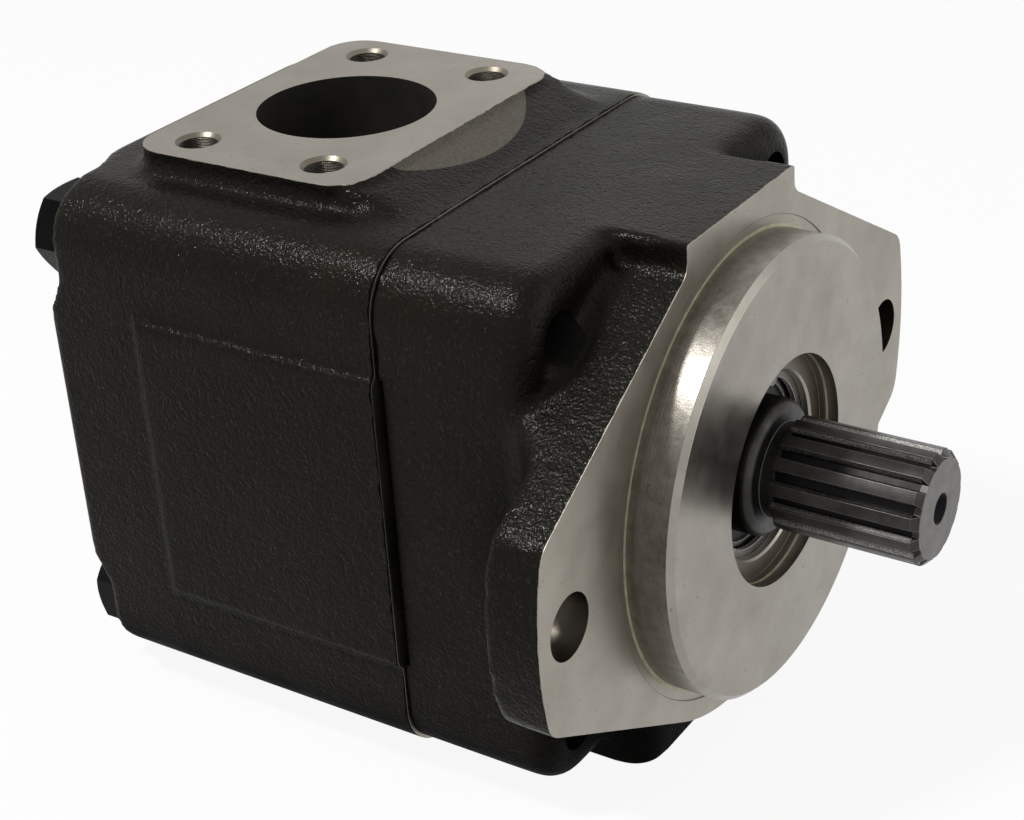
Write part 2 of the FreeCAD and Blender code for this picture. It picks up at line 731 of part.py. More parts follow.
def housing_screws():
    """Four hexagon screws, from the rear floor into the front corner bosses."""
    body = new_body("housing_screw")
    head = new_sketch(body, "YZ_Plane", "-screw_head_height")
    corner = "screw_head_flats / 2 / cos(30deg)"
    add_hexagon(head, corner)
    extrude(body, "Pad", head, "screw_head_height")
    bevel = new_sketch(body, "XZ_Plane")
    top, rim = "-screw_head_height", f"({corner} + 1)"
    chamfer = f"({rim} - screw_head_flats / 2) * tan(30deg)"
    add_polygon(bevel, [(top, "screw_head_flats / 2"), (top, rim), (f"{top} + {chamfer}", rim)])
    turn(body, "Groove", bevel)
    shank = add_circle(new_sketch(body, "YZ_Plane"), "0", "0", "screw_shank_radius")
    extrude(body, "Pad", shank, "screw_length - screw_thread_length")
    thread_start = "screw_length - screw_thread_length"
    thread = add_circle(new_sketch(body, "YZ_Plane", thread_start), "0", "0", "screw_thread_radius")
    extrude(body, "Pad", thread, "screw_thread_length")
    end = size("screw_length")
    radius = size("screw_thread_radius")
    dress(body, "Chamfer", "screw_shank_radius - screw_thread_radius", lambda e: is_circle(e, radius, x=end))
    seat = size("rear_floor_depth") - size("joint_setback") - size("rear_length")
    reach = size("screw_reach")
    places = [
        Placement(Vector(seat, reach * y, reach * z), Rotation(X, angle))
        for angle, (y, z) in zip(HEAD_TURNS, CORNERS)
    ]
    copies("housing_screws", body, places)


def ring_seal(label, place, radius, section="seal_section"):
    """A ring of nearly round, eight-sided section, centred on a place along the axis and a radius."""
    turns = [f"{45 * i + 22.5}deg" for i in range(8)]
    outline = [(f"{place} + {section} * cos({a})", f"{radius} + {section} * sin({a})") for a in turns]
    return turned(label, outline)


def drive_shaft():
    """The shaft: drive spline, seal journal, bearing seat, rotor spline and tail."""
    tip = "shaft_length_out"
    clip_front = "(circlip_thickness - bearing_setback)"
    clip_floor = "bearing_inner_radius - circlip_groove"
    spline_front = f"({RING_FRONT} + wear_plate_thickness)"
    spline_back = f"({RING_BACK} - wear_plate_thickness)"
    body = turned(
        "drive_shaft",
        [
            (tip, "0"),
            (tip, "spline_major_radius - spline_end_chamfer"),
            (f"{tip} - spline_end_chamfer", "spline_major_radius"),
            ("spline_start", "spline_major_radius"),
            ("spline_start - 1", "neck_radius"),
            ("journal_front", "neck_radius"),
            ("journal_front", "journal_radius"),
            ("-journal_back", "journal_radius"),
            ("-journal_back", "bearing_inner_radius"),
            (clip_front, "bearing_inner_radius"),
            (clip_front, clip_floor),
            ("-bearing_setback", clip_floor),
            ("-bearing_setback", "bearing_inner_radius"),
            (BEARING_BACK, "bearing_inner_radius"),
            (BEARING_BACK, "shoulder_radius"),
            ("-shoulder_end", "shoulder_radius"),
            ("-shoulder_end", "mid_shaft_radius"),
            (spline_front, "mid_shaft_radius"),
            (spline_front, "rotor_spline_radius"),
            (spline_back, "rotor_spline_radius"),
            (spline_back, "tail_radius"),
            (SHAFT_END, "tail_radius"),
            (SHAFT_END, "0"),
        ],
    )
    collar = size("journal_front")
    dress(body, "Fillet", "journal_rounding", lambda e: is_circle(e, size("journal_radius"), x=collar))

    # Gaps of the drive spline, one cut and turned round the axis
    # The first gap stands this far round from the top at rest
    gap = new_sketch(body, "YZ_Plane", f"{tip} + 1")
    gap.setExpression("AttachmentOffset.Rotation.Angle", bound("spline_turn * 1deg"))
    over = "(spline_major_radius + 1)"
    spread = "(spline_gap_top - spline_gap_root) / (spline_major_radius - spline_root_radius)"
    wide = f"(spline_gap_top / 2 + {spread} / 2)"
    root = "spline_gap_root / 2"
    floor = "spline_root_radius"
    add_polygon(gap, [(f"-{root}", floor), (root, floor), (wide, over), (f"-{wide}", over)])
    cut = extrude(body, "Pocket", gap, f"{tip} + 1 - spline_start + 1")
    around(body, cut, "spline_teeth")

    # Gaps of the rotor spline
    gap = new_sketch(body, "YZ_Plane", spline_front)
    side = "rotor_spline_gap / 2"
    add_box(gap, f"-{side}", side, "rotor_spline_root", "rotor_spline_radius + 1")
    cut = extrude(body, "Pocket", gap, f"{spline_front} - {spline_back}")
    around(body, cut, "rotor_spline_teeth")

    # Centre hole in the drive end
    centre = new_sketch(body, "XZ_Plane")
    cone, drill = f"{tip} - centre_hole_depth", f"{tip} - centre_drill_depth"
    rim = [(f"{tip} + 1", "0"), (f"{tip} + 1", "centre_hole_radius"), (tip, "centre_hole_radius")]
    add_polygon(centre, rim + [(cone, "centre_drill_radius"), (drill, "centre_drill_radius"), (drill, "0")])
    turn(body, "Groove", centre)
    return body


def shaft_bearing():
    """A single-row ball bearing: two races, a cage and its balls."""
    middle = f"(-bearing_setback - bearing_width / 2)"
    track = "ball_radius + ball_clearance"
    edges = {
        "bearing_inner_race": ("bearing_inner_radius", "bearing_inner_radius + race_thickness"),
        "bearing_outer_race": ("bearing_outer_radius - race_thickness", "bearing_outer_radius"),
    }
    for label, (low, high) in edges.items():
        race = sleeve(label, BEARING_BACK, "-bearing_setback", low, high)
        turn(race, "Groove", add_circle(new_sketch(race, "XZ_Plane"), middle, BEARING_PITCH, track))

    walls = (f"{BEARING_PITCH} - cage_half_thickness", f"{BEARING_PITCH} + cage_half_thickness")
    sides = (f"{middle} - cage_half_width", f"{middle} + cage_half_width")
    cage = sleeve("bearing_cage", *sides, *walls)
    pocket = add_circle(new_sketch(cage, "XY_Plane"), middle, "0", track)
    cut = extrude(cage, "Pocket", pocket, "bearing_outer_radius", reverse=True)
    around(cage, cut, "ball_count")

    pitch = (size("bearing_inner_radius") + size("bearing_outer_radius")) / 2
    ball = doc.addObject("Part::Sphere", "ball")
    ball.setExpression("Radius", "Sizes.ball_radius")
    count = int(size("ball_count"))
    at = Vector(-size("bearing_setback") - size("bearing_width") / 2, 0, pitch)
    places = [about_axis(360 / count * i).multiply(Placement(at, Rotation())) for i in range(count)]
    copies("bearing_balls", ball, places)


def split_ring(label, place, thickness, edges, ears_inside, gap_width, ear_width):
    """A flat retaining ring with a gap and a drilled ear on each side of it."""
    inner, outer = edges
    body = new_body(label)
    ring = new_sketch(body, "YZ_Plane", place)
    add_circle(ring, "0", "0", inner)
    add_circle(ring, "0", "0", outer)
    extrude(body, "Pad", ring, thickness)
    edge, side = (inner, "-1") if ears_inside else (outer, "1")
    middle = f"({edge} + {side} * ({ear_width} / 2 - ear_overlap))"
    for turn_sign in ("1", "-1"):
        ear = new_sketch(body, "YZ_Plane", place)
        add_circle(ear, f"{turn_sign} * ({gap_width} + {ear_width}) / 2", middle, f"{ear_width} / 2")
        extrude(body, "Pad", ear, thickness)
    gap = new_sketch(body, "YZ_Plane", place)
    add_box(gap, f"-{gap_width} / 2", f"{gap_width} / 2", f"{inner} - {ear_width}", f"{outer} + {ear_width}")
    extrude(body, "Pocket", gap, thickness, reverse=True)
    for turn_sign in ("1", "-1"):
        hole = new_sketch(body, "YZ_Plane", place)
        add_circle(hole, f"{turn_sign} * ({gap_width} + {ear_width}) / 2", middle, "ear_hole_radius")
        extrude(body, "Pocket", hole, thickness, reverse=True)
    return body


def retaining_rings():
    """Rings that keep the shaft seal, the bearing and the shaft in place."""
    flat = "(snap_ring_thickness - ring_clearance)"
    ears = ("snap_ring_gap", "snap_ring_ear")
    seal_out = "(seal_bore_radius + snap_ring_groove - ring_clearance)"
    seal_place = "pilot_height - snap_ring_setin"
    seal_edges = (f"({seal_out} - snap_ring_width)", seal_out)
    split_ring("seal_retaining_ring", seal_place, flat, seal_edges, True, *ears)
    keep_out = "(bearing_outer_radius + snap_ring_groove - ring_clearance)"
    keep_place = f"{BEARING_BACK} - {flat}"
    keep_edges = (f"({keep_out} - snap_ring_width)", keep_out)
    split_ring("bearing_retaining_ring", keep_place, flat, keep_edges, True, *ears)
    clip_in = "(bearing_inner_radius - circlip_groove + ring_clearance)"
    clip_flat = "(circlip_thickness - ring_clearance)"
    clip_edges = (clip_in, f"({clip_in} + circlip_width)")
    ears = ("circlip_gap", "circlip_ear")
    split_ring("shaft_circlip", "-bearing_setback", clip_flat, clip_edges, False, *ears)


def shaft_seal():
    """Radial shaft seal: pressed steel case, rubber body with its lip, and garter spring."""
    back, front = "-seal_seat_setback", "(seal_width - seal_seat_setback)"
    wall = "seal_case_thickness"
    outer, inner = "seal_bore_radius", "(seal_bore_radius - seal_case_thickness)"
    flange = "(journal_radius + 2 * seal_lip_width)"
    face = f"({front} - {wall})"
    turned(
        "seal_case",
        [(back, inner), (back, outer), (front, outer), (front, flange), (face, flange), (face, inner)],
    )
    shaft = "(journal_radius + seal_running_gap)"
    heel = f"{shaft} + seal_lip_width"
    web = f"({face} - seal_lip_width)"
    turned(
        "seal_lip",
        [
            (face, shaft),
            (face, inner),
            (web, inner),
            (web, heel),
            (f"{back} + 2 * seal_spring_radius", heel),
            (back, f"{shaft} + seal_lip_width / 2"),
            (f"{back} + seal_lip_width", shaft),
            (f"{face} - seal_lip_width / 2", f"{shaft} + seal_lip_width / 4"),
        ],
    )
    place = f"{back} + 3 * seal_spring_radius"
    height = f"{heel} + seal_spring_radius + seal_running_gap"
    ring_seal("seal_spring", place, height, "seal_spring_radius")


def window(body, back, front, inner, outer, centre):
    """Two opposite openings that span part of the way round, at this angle from the +Y side."""
    sketch = new_sketch(body, "XZ_Plane")
    sketch.AttachmentOffset = Placement(Vector(), Rotation(X, centre - 90))
    add_box(sketch, back, front, inner, outer)
    cut = turn(body, "Groove", sketch, "window_angle")
    around(body, cut, "2")


def drill_pair(body, across, up, radius, face, depth):
    """Two holes opposite each other, cut forwards from this place along the axis."""
    for sign in ("1", "-1"):
        hole = add_circle(new_sketch(body, "YZ_Plane", face), f"{sign} * {across}", f"{sign} * {up}", radius)
        extrude(body, "Pocket", hole, depth, reverse=True)


def seal_groove(body, place, radius, bore):
    """A groove in the rim of a hub for a ring seal of this radius, up to the bore it seals."""
    sketch = new_sketch(body, "XZ_Plane")
    floor = f"{radius} - seal_section - seal_groove_room"
    left, right = f"{place} - seal_groove_half_width", f"{place} + seal_groove_half_width"
    turn(body, "Groove", add_box(sketch, left, right, floor, f"{bore} + 1"))


# Middles of the inlet and outlet windows, in degrees from the +Y side towards the top
INLET_ANGLE, OUTLET_ANGLE = 45, 135
# Spans that each rise and fall of the cam bore is drawn in
CAM_STEPS = 6
OUTLET_HUB_SEAL = (f"({PLATE_SEAT} + outlet_hub_length / 2)", "(hub_bore_radius - seal_section)")
OUTLET_RIM_SEAL = (f"({PLATE_SEAT} - spigot_depth / 2)", "(spigot_radius - seal_section)")
INLET_HUB_SEAL = (f"({INLET_BACK} - inlet_hub_length / 2)", "(inlet_hub_radius + plate_fit - seal_section)")


def outlet_support_plate():
    """The plate that closes the front of the cartridge and lets the oil out to the outlet chamber."""
    rim, hub = "spigot_radius - plate_fit", "hub_bore_radius - plate_fit"
    hub_end = f"{PLATE_SEAT} + outlet_hub_length"
    body = turned(
        "outlet_support_plate",
        [
            (OUTLET_BACK, "plate_bore_radius"),
            (hub_end, "plate_bore_radius"),
            (hub_end, hub),
            (PLATE_SEAT, hub),
            (PLATE_SEAT, rim),
            (OUTLET_BACK, rim),
        ],
    )
    window(body, OUTLET_BACK, PLATE_SEAT, "window_inner_radius", "window_outer_radius", OUTLET_ANGLE)
    seal_groove(body, *OUTLET_HUB_SEAL, hub)
    seal_groove(body, *OUTLET_RIM_SEAL, rim)
    drill_pair(body, "tie_reach", "0", "tie_radius", OUTLET_BACK, "tie_thread_depth")
    drill_pair(body, "0", "tie_reach", "dowel_radius", OUTLET_BACK, "dowel_depth")


def wear_plate(label, back):
    """A bronze-faced plate between a support plate and the ring, open at all four windows."""
    front = f"({back} + wear_plate_thickness)"
    body = sleeve(label, back, front, "plate_bore_radius", "ring_outer_radius")
    for angle in (INLET_ANGLE, OUTLET_ANGLE):
        window(body, back, front, "window_inner_radius", "window_outer_radius", angle)
    drill_pair(body, "tie_reach", "0", "tie_hole_radius", back, "wear_plate_thickness")
    drill_pair(body, "0", "tie_reach", "dowel_radius", back, "wear_plate_thickness")


def cam_radius(angle):
    """Radius of the cam bore at an angle in degrees: two short and two long dwells, smooth between."""
    low, high, dwell = size("cam_minor_radius"), size("cam_major_radius"), size("cam_dwell_half_angle")
    half = abs((angle + 90) % 180 - 90)
    share = min(max((half - dwell) / (90 - 2 * dwell), 0), 1)
    return low + (high - low) * (1 - math.cos(math.pi * share)) / 2


def cam_point(angle):
    """A point of the cam bore's outline, seen along the shaft."""
    return Rotation(X, angle).multVec(Y * cam_radius(angle))


def cam_ring():
    """The ring whose oval bore the vanes follow, with its tie and dowel holes."""
    doc.recompute()
    dwell = size("cam_dwell_half_angle")
    edges = []
    for middle in (0, 90, 180, 270):
        edges.append(Part.Arc(*(cam_point(middle + turned) for turned in (-dwell, 0, dwell))).toShape())
        slope_length = (90 - 2 * dwell) / CAM_STEPS
        slope = [cam_point(middle + dwell + step * slope_length) for step in range(CAM_STEPS + 1)]
        curve = Part.BSplineCurve()
        curve.interpolate(Points=slope, InitialTangent=X.cross(slope[0]), FinalTangent=X.cross(slope[-1]))
        edges.append(curve.toShape())
    width = size("ring_width")
    bore = Part.Face(Part.Wire(edges)).extrude(Vector(width, 0, 0))
    ring = Part.makeCylinder(size("ring_outer_radius"), width, Vector(), X).cut(bore)
    reach = size("tie_reach")
    for spot, radius in ((Y, size("tie_hole_radius")), (Z, size("dowel_radius"))):
        for sign in (1, -1):
            ring = ring.cut(Part.makeCylinder(radius, width, spot * reach * sign, X))
    node = doc.addObject("Part::Feature", "cam_ring")
    node.Label = "cam_ring"
    node.Shape = ring
    node.setExpression("Placement.Base.x", bound(RING_BACK))


def rotor():
    """The slotted rotor, with a round pocket under each vane and a splined bore."""
    back, front = f"({RING_BACK} + side_clearance)", f"({RING_FRONT} - side_clearance)"
    body = sleeve("rotor", back, front, "rotor_spline_radius + shaft_fit", "rotor_radius")
    half = "(vane_thickness / 2 + vane_fit)"
    between = Placement(Vector(), Rotation(Z, 180 / size("vane_count")))
    slot = new_sketch(body, "YZ_Plane", back)
    slot.AttachmentOffset = between
    add_box(slot, f"-{half}", half, "under_vane_radius", "rotor_radius + 1")
    around(body, extrude(body, "Pocket", slot, "ring_width", reverse=True), "vane_count")
    hole = new_sketch(body, "YZ_Plane", back)
    hole.AttachmentOffset = between
    add_circle(hole, "0", "under_vane_radius", "under_vane_hole")
    around(body, extrude(body, "Pocket", hole, "ring_width", reverse=True), "vane_count")
    key = new_sketch(body, "YZ_Plane", back)
    side, root = "(rotor_spline_gap / 2 - shaft_fit)", "rotor_spline_root + shaft_fit"
    add_box(key, f"-{side}", side, root, "rotor_spline_radius + 2 * side_clearance")
    around(body, extrude(body, "Pad", key, f"{front} - {back}"), "rotor_spline_teeth")


def vanes():
    """Twelve sliding vanes and, under each, the insert that feeds its underside."""
    half = "vane_thickness / 2"
    width = "ring_width / 2 - side_clearance"
    vane = new_body("vane")
    notch = "insert_width / 2 + side_clearance"
    top = "vane_root_radius + insert_height"
    outline = [
        (f"-({width})", "vane_root_radius"),
        (f"-({notch})", "vane_root_radius"),
        (f"-({notch})", top),
        (notch, top),
        (notch, "vane_root_radius"),
        (width, "vane_root_radius"),
        (width, "vane_rest_radius"),
        (f"-({width})", "vane_rest_radius"),
    ]
    extrude(vane, "Pad", add_polygon(new_sketch(vane, "XZ_Plane"), outline), "vane_thickness", both=True)
    tip = size("vane_rest_radius")
    dress(vane, "Fillet", "vane_tip_rounding", lambda e: along(e, X) and near(e.Vertexes[0].Z, tip))

    insert = new_body("vane_insert")
    sketch = new_sketch(insert, "XZ_Plane")
    add_box(sketch, "-insert_width / 2", "insert_width / 2", "insert_root_radius", f"{top} - insert_room")
    extrude(insert, "Pad", sketch, "vane_thickness", both=True)

    plates = size("inlet_plate_thickness") + size("wear_plate_thickness")
    middle = inlet_back() + plates + size("ring_width") / 2
    count = int(size("vane_count"))
    places = []
    for number in range(count):
        turn_angle = 360 / count * (number + 0.5) - 90
        places.append(about_axis(turn_angle).multiply(Placement(Vector(middle, 0, 0), Rotation())))
    for number, place in enumerate(places, start=1):
        copies(f"vane_{number:02d}", vane, [place])
    copies("vane_inserts", insert, places)


def inlet_support_plate():
    """The plate that closes the rear of the cartridge, lets the oil in and carries the rear bush."""
    hub, rim = "inlet_hub_radius", "ring_outer_radius"
    hub_end = f"{INLET_BACK} - inlet_hub_length"
    seat, bush = f"{hub_end} + bush_length", "tail_radius + shaft_fit + bush_thickness"
    body = turned(
        "inlet_support_plate",
        [
            (INLET_FRONT, "plate_bore_radius"),
            (seat, "plate_bore_radius"),
            (seat, bush),
            (hub_end, bush),
            (hub_end, hub),
            (INLET_BACK, hub),
            (INLET_BACK, rim),
            (INLET_FRONT, rim),
        ],
    )
    depth = f"{INLET_FRONT} - inlet_window_depth"
    window(body, depth, INLET_FRONT, "window_inner_radius", "ring_outer_radius + 1", INLET_ANGLE)
    seal_groove(body, *INLET_HUB_SEAL, hub)
    drill_pair(body, "tie_reach", "0", "tie_hole_radius", INLET_BACK, "inlet_plate_thickness")
    head_depth = "tie_head_height + tie_head_room"
    drill_pair(body, "tie_reach", "0", "tie_head_radius + plate_fit", INLET_BACK, head_depth)
    drill_pair(body, "0", "tie_reach", "dowel_radius", f"{INLET_FRONT} - dowel_depth", "dowel_depth")
    sleeve("shaft_bush", hub_end, seat, "tail_radius + shaft_fit", bush)


def cartridge_fasteners():
    """Two socket screws and two dowels through the cartridge."""
    screw = new_body("cartridge_screw")
    head = add_circle(new_sketch(screw, "YZ_Plane", "-tie_head_height"), "0", "0", "tie_head_radius")
    extrude(screw, "Pad", head, "tie_head_height")
    reach = "inlet_plate_thickness - tie_head_height - tie_head_room + 2 * wear_plate_thickness + ring_width"
    shank = add_circle(new_sketch(screw, "YZ_Plane"), "0", "0", "tie_radius")
    extrude(screw, "Pad", shank, f"{reach} + tie_thread_depth - 1")
    socket = new_sketch(screw, "YZ_Plane", "-tie_head_height")
    corner = "tie_socket_flats / 2 / cos(30deg)"
    add_hexagon(socket, corner)
    extrude(screw, "Pocket", socket, "tie_socket_depth", reverse=True)
    seat = inlet_back() + size("tie_head_height") + size("tie_head_room")
    spot = Vector(seat, size("tie_reach"), 0)
    copies("cartridge_screws", screw, opposite(spot))

    dowel = new_body("cartridge_dowel")
    rod = add_circle(new_sketch(dowel, "YZ_Plane"), "0", "0", "dowel_radius")
    extrude(dowel, "Pad", rod, "2 * dowel_depth + 2 * wear_plate_thickness + ring_width")
    spot = Vector(inlet_back() + size("inlet_plate_thickness") - size("dowel_depth"), 0, size("tie_reach"))
    copies("cartridge_dowels", dowel, opposite(spot))


def inlet_back():
    """Place of the rear face of the cartridge along the axis."""
    plates = size("outlet_plate_thickness") + size("inlet_plate_thickness") + 2 * size("wear_plate_thickness")
    return size("spigot_depth") - size("joint_setback") - plates - size("ring_width")


def ring_seals():
    """The seals of the joint face, of both hubs and of the front plate's rim."""
    ring_seal("joint_seal", f"{JOINT} + seal_section", "joint_seal_radius")
    ring_seal("outlet_hub_seal", *OUTLET_HUB_SEAL)
    ring_seal("outlet_rim_seal", *OUTLET_RIM_SEAL)
    ring_seal("inlet_hub_seal", *INLET_HUB_SEAL)


# Bodies that only serve as the pattern for copies
PATTERNS = ("housing_screw", "ball", "vane", "vane_insert", "cartridge_screw", "cartridge_dowel")


def check_and_export():
    """Stop at the first faulty object; otherwise write every sub-part to its own file."""
    doc.recompute()
    for item in doc.Objects:
        if {"Invalid", "Error"} & set(item.State):
            raise RuntimeError(f"{item.Label}: {item.State}")
        shape = getattr(item, "Shape", None)
        if item.isDerivedFrom("Part::Feature") and (shape.isNull() or not shape.isValid()):
            raise RuntimeError(f"{item.Label}: no valid shape")
    os.makedirs("parts", exist_ok=True)
    for item in doc.Objects:
        if item.TypeId in ("PartDesign::Body", "Part::Feature") and item.Label not in PATTERNS:
            item.Shape.exportStep(f"parts/{item.Label}.step")


def build():
    front_housing()
    rear_housing()
    housing_screws()
    drive_shaft()
    shaft_bearing()
    retaining_rings()
    shaft_seal()
    outlet_support_plate()
    wear_plate("front_wear_plate", RING_FRONT)
    cam_ring()
    rotor()
    vanes()
    wear_plate("rear_wear_plate", INLET_FRONT)
    inlet_support_plate()
    cartridge_fasteners()
    ring_seals()
    check_and_export()


build()
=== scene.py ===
import itertools
import math

import bmesh
import bpy
from mathutils import Matrix, Vector


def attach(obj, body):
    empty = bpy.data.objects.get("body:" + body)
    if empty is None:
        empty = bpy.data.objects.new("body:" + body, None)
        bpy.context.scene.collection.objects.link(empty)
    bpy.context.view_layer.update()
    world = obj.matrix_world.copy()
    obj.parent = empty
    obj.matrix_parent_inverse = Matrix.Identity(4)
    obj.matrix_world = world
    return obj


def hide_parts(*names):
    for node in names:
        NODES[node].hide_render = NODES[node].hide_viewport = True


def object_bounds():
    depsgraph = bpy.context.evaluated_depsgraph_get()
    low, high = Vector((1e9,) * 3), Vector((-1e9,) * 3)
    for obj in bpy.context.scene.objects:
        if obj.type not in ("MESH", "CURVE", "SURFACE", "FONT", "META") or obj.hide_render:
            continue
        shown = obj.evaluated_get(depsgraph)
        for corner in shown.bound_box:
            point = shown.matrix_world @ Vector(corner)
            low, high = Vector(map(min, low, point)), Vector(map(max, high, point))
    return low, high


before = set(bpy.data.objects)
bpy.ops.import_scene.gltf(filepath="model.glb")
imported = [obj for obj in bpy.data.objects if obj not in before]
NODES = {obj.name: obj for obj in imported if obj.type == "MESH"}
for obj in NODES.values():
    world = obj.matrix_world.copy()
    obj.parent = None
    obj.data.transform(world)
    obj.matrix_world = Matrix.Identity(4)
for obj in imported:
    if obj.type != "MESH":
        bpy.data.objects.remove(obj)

CAD_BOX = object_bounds()

FORWARD = (1, 0, 0)
BACKWARD = (-1, 0, 0)
UP = (0, 0, 1)
DOWN = (0, 0, -1)
SIDES = (-1, 1)

# Places on the pump, in metres, as the source of the solids has them
FLANGE_X = 0.0
FLANGE_BACK = -0.0151
PILOT_RADIUS = 0.0635
PILOT_FRONT = 0.0127
PILOT_CHAMFER = 0.0016
RELIEF_RADIUS = 0.067
RELIEF_FLOOR = -0.0004
RECESS_RADIUS = 0.032
RECESS_FLOOR = 0.0071
RECESS_OIL_LINE = 0.0091
SEAL_RADIUS = 0.0260
SEAL_RING_FRONT = 0.0045
SEAL_RING_BACK = 0.0030
SEAL_RING_RADIUS = 0.0273
SEAL_BACK = -0.0049
PASSAGE_RADIUS = 0.0210
CIRCLIP_FRONT = -0.0064
CIRCLIP_RADIUS = 0.0290
BEARING_FRONT = -0.0085
BEARING_BACK = -0.0235
BEARING_RADIUS = 0.0340
BEARING_RING_BACK = -0.0250
BEARING_RING_RADIUS = 0.0353
HUB_ROOM_FRONT = -0.0280
HUB_ROOM_RADIUS = 0.0360
CHAMBER_FRONT = -0.0340
CHAMBER_BACK = -0.0520
CHAMBER_INSIDE = 0.0410
CHAMBER_OUTSIDE = 0.0580
CARTRIDGE_FRONT = -0.0570
CARTRIDGE_RADIUS = 0.0620
JOINT_X = -0.065
JOINT_SEAL_FLOOR = -0.06235
JOINT_SEAL_INSIDE = 0.0669
JOINT_SEAL_OUTSIDE = 0.0703
LUG_HOLE_PLACE = 0.0905
LUG_HOLE_RADIUS = 0.00875
SCREW_PLACE = 0.0575
SCREW_HOLE_RADIUS = 0.0070
SCREW_SEAT_RADIUS = 0.0145
SCREW_PASSAGE_RADIUS = 0.00875
SIDE_GAP = (0.0713, 0.0740)
PAD_HALF_HEIGHT = 0.043
PAD_BACK = -0.145
REAR_END = -0.1820
RING_SEAT_RADIUS = 0.0650
RING_SEAT_BACK = -0.1450
BUSH_SEAT_RADIUS = 0.03305
BUSH_SEAT_BACK = -0.1585
SUCTION_CENTRE = (-0.12425, 0.0)
SUCTION_ENDS = (-0.16115, -0.0870)
SUCTION_HALF_WIDTH = 0.051
SUCTION_CORNER = 0.0110
SUCTION_FACE = 0.0821
SUCTION_BORE = 0.0254
SUCTION_TAPS = (0.02145, 0.0389)
SUCTION_TAP_RADIUS = 0.0053
OUTLET_CENTRE = (-0.03725, 0.0)
OUTLET_FACE = -0.0820
OUTLET_BORE = 0.0159
OUTLET_TAPS = (0.0151, 0.02935)
OUTLET_TAP_RADIUS = 0.0043
RAMP_END = -0.0740
MASK_RADIUS = 0.0503
MASK_LOW = 0.0750
SPLINE_START = 0.0150
SPLINE_TIP = 0.0560
SPLINE_CREST_RADIUS = 0.0154
SPLINE_ROOT_RADIUS = 0.0141
CENTRE_HOLE_RADIUS = 0.00445


def new_object(name, data):
    item = bpy.data.objects.new(name, data)
    bpy.context.scene.collection.objects.link(item)
    return item


# Node helpers

def start_material(name):
    material = bpy.data.materials.new(name)
    material.use_nodes = True
    tree = material.node_tree
    tree.nodes.clear()
    output = tree.nodes.new("ShaderNodeOutputMaterial")
    return material, tree, output.inputs["Surface"]


def add(tree, kind, inputs=None, **settings):
    """A new node. An input is a value or the socket that feeds it."""
    item = tree.nodes.new(kind)
    for key, value in settings.items():
        setattr(item, key, value)
    for key, value in (inputs or {}).items():
        socket = item.inputs[key]
        if isinstance(value, bpy.types.NodeSocket):
            tree.links.new(value, socket)
        else:
            socket.default_value = value
    return item


def place(tree):
    """Where a point lies on the piece, in metres."""
    return add(tree, "ShaderNodeTexCoord").outputs["Object"]


def axis(tree, vector, letter):
    return add(tree, "ShaderNodeSeparateXYZ", {0: vector}).outputs[letter]


def sums(tree, operation, first, second=0.0, third=0.0):
    inputs = {0: first, 1: second, 2: third}
    return add(tree, "ShaderNodeMath", inputs, operation=operation).outputs[0]


def noise(tree, vector, scale, detail=2.0, roughness=0.5, distortion=0.0):
    inputs = {
        "Vector": vector,
        "Scale": scale,
        "Detail": detail,
        "Roughness": roughness,
        "Distortion": distortion,
    }
    return add(tree, "ShaderNodeTexNoise", inputs).outputs["Fac"]


def ramp(tree, value, low, high, start=0.0, end=1.0, smooth=True):
    """Takes the range from low to high over to the one from start to end."""
    inputs = {
        "Value": value,
        "From Min": low,
        "From Max": high,
        "To Min": start,
        "To Max": end,
    }
    kind = "SMOOTHSTEP" if smooth else "LINEAR"
    return add(tree, "ShaderNodeMapRange", inputs, interpolation_type=kind).outputs[0]


def blend(tree, factor, first, second):
    """A mix of two colours. A Mix node's colour sockets are its inputs 6 and 7 and its output 2."""
    inputs = {0: factor, 6: first, 7: second}
    return add(tree, "ShaderNodeMix", inputs, data_type="RGBA").outputs[2]


def colour(red, green, blue):
    return (red, green, blue, 1.0)


def soft_edges(tree, radius):
    """The normal of a surface whose edges are rounded."""
    return add(tree, "ShaderNodeBevel", {"Radius": radius}, samples=6).outputs[0]


def edge_mask(tree, radius, low, high):
    """1 along the sharp edges of a piece and 0 away from them."""
    flat = add(tree, "ShaderNodeNewGeometry").outputs["Normal"]
    inputs = {0: soft_edges(tree, radius), 1: flat}
    item = add(tree, "ShaderNodeVectorMath", inputs, operation="DOT_PRODUCT")
    return ramp(tree, item.outputs["Value"], high, low)


def bump(tree, height, distance, strength=1.0, normal=None):
    inputs = {"Height": height, "Distance": distance, "Strength": strength}
    if normal is not None:
        inputs["Normal"] = normal
    return add(tree, "ShaderNodeBump", inputs).outputs[0]


def around(tree, vector, centre, letters="YZ"):
    """The distance from an axis, by default from the one of the shaft."""
    first = sums(tree, "SUBTRACT", axis(tree, vector, letters[0]), centre[0])
    second = sums(tree, "SUBTRACT", axis(tree, vector, letters[1]), centre[1])
    square = sums(tree, "MULTIPLY", first, first)
    total = sums(tree, "MULTIPLY_ADD", second, second, square)
    return sums(tree, "SQRT", total)


# Finishes

def paint_height(tree, here):
    """The skin of a sand casting under its paint: fine grains, lumps and small pits."""
    grain = noise(tree, here, 1050.0, 2.0, 0.55)
    lumps = noise(tree, here, 420.0, 2.0, 0.5)
    swell = noise(tree, here, 95.0, 3.0, 0.5)
    pits = ramp(tree, noise(tree, here, 520.0, 1.0), 0.26, 0.36)
    height = sums(tree, "MULTIPLY_ADD", lumps, 0.55, grain)
    height = sums(tree, "MULTIPLY_ADD", swell, 0.9, height)
    return sums(tree, "MULTIPLY_ADD", pits, 0.5, height)


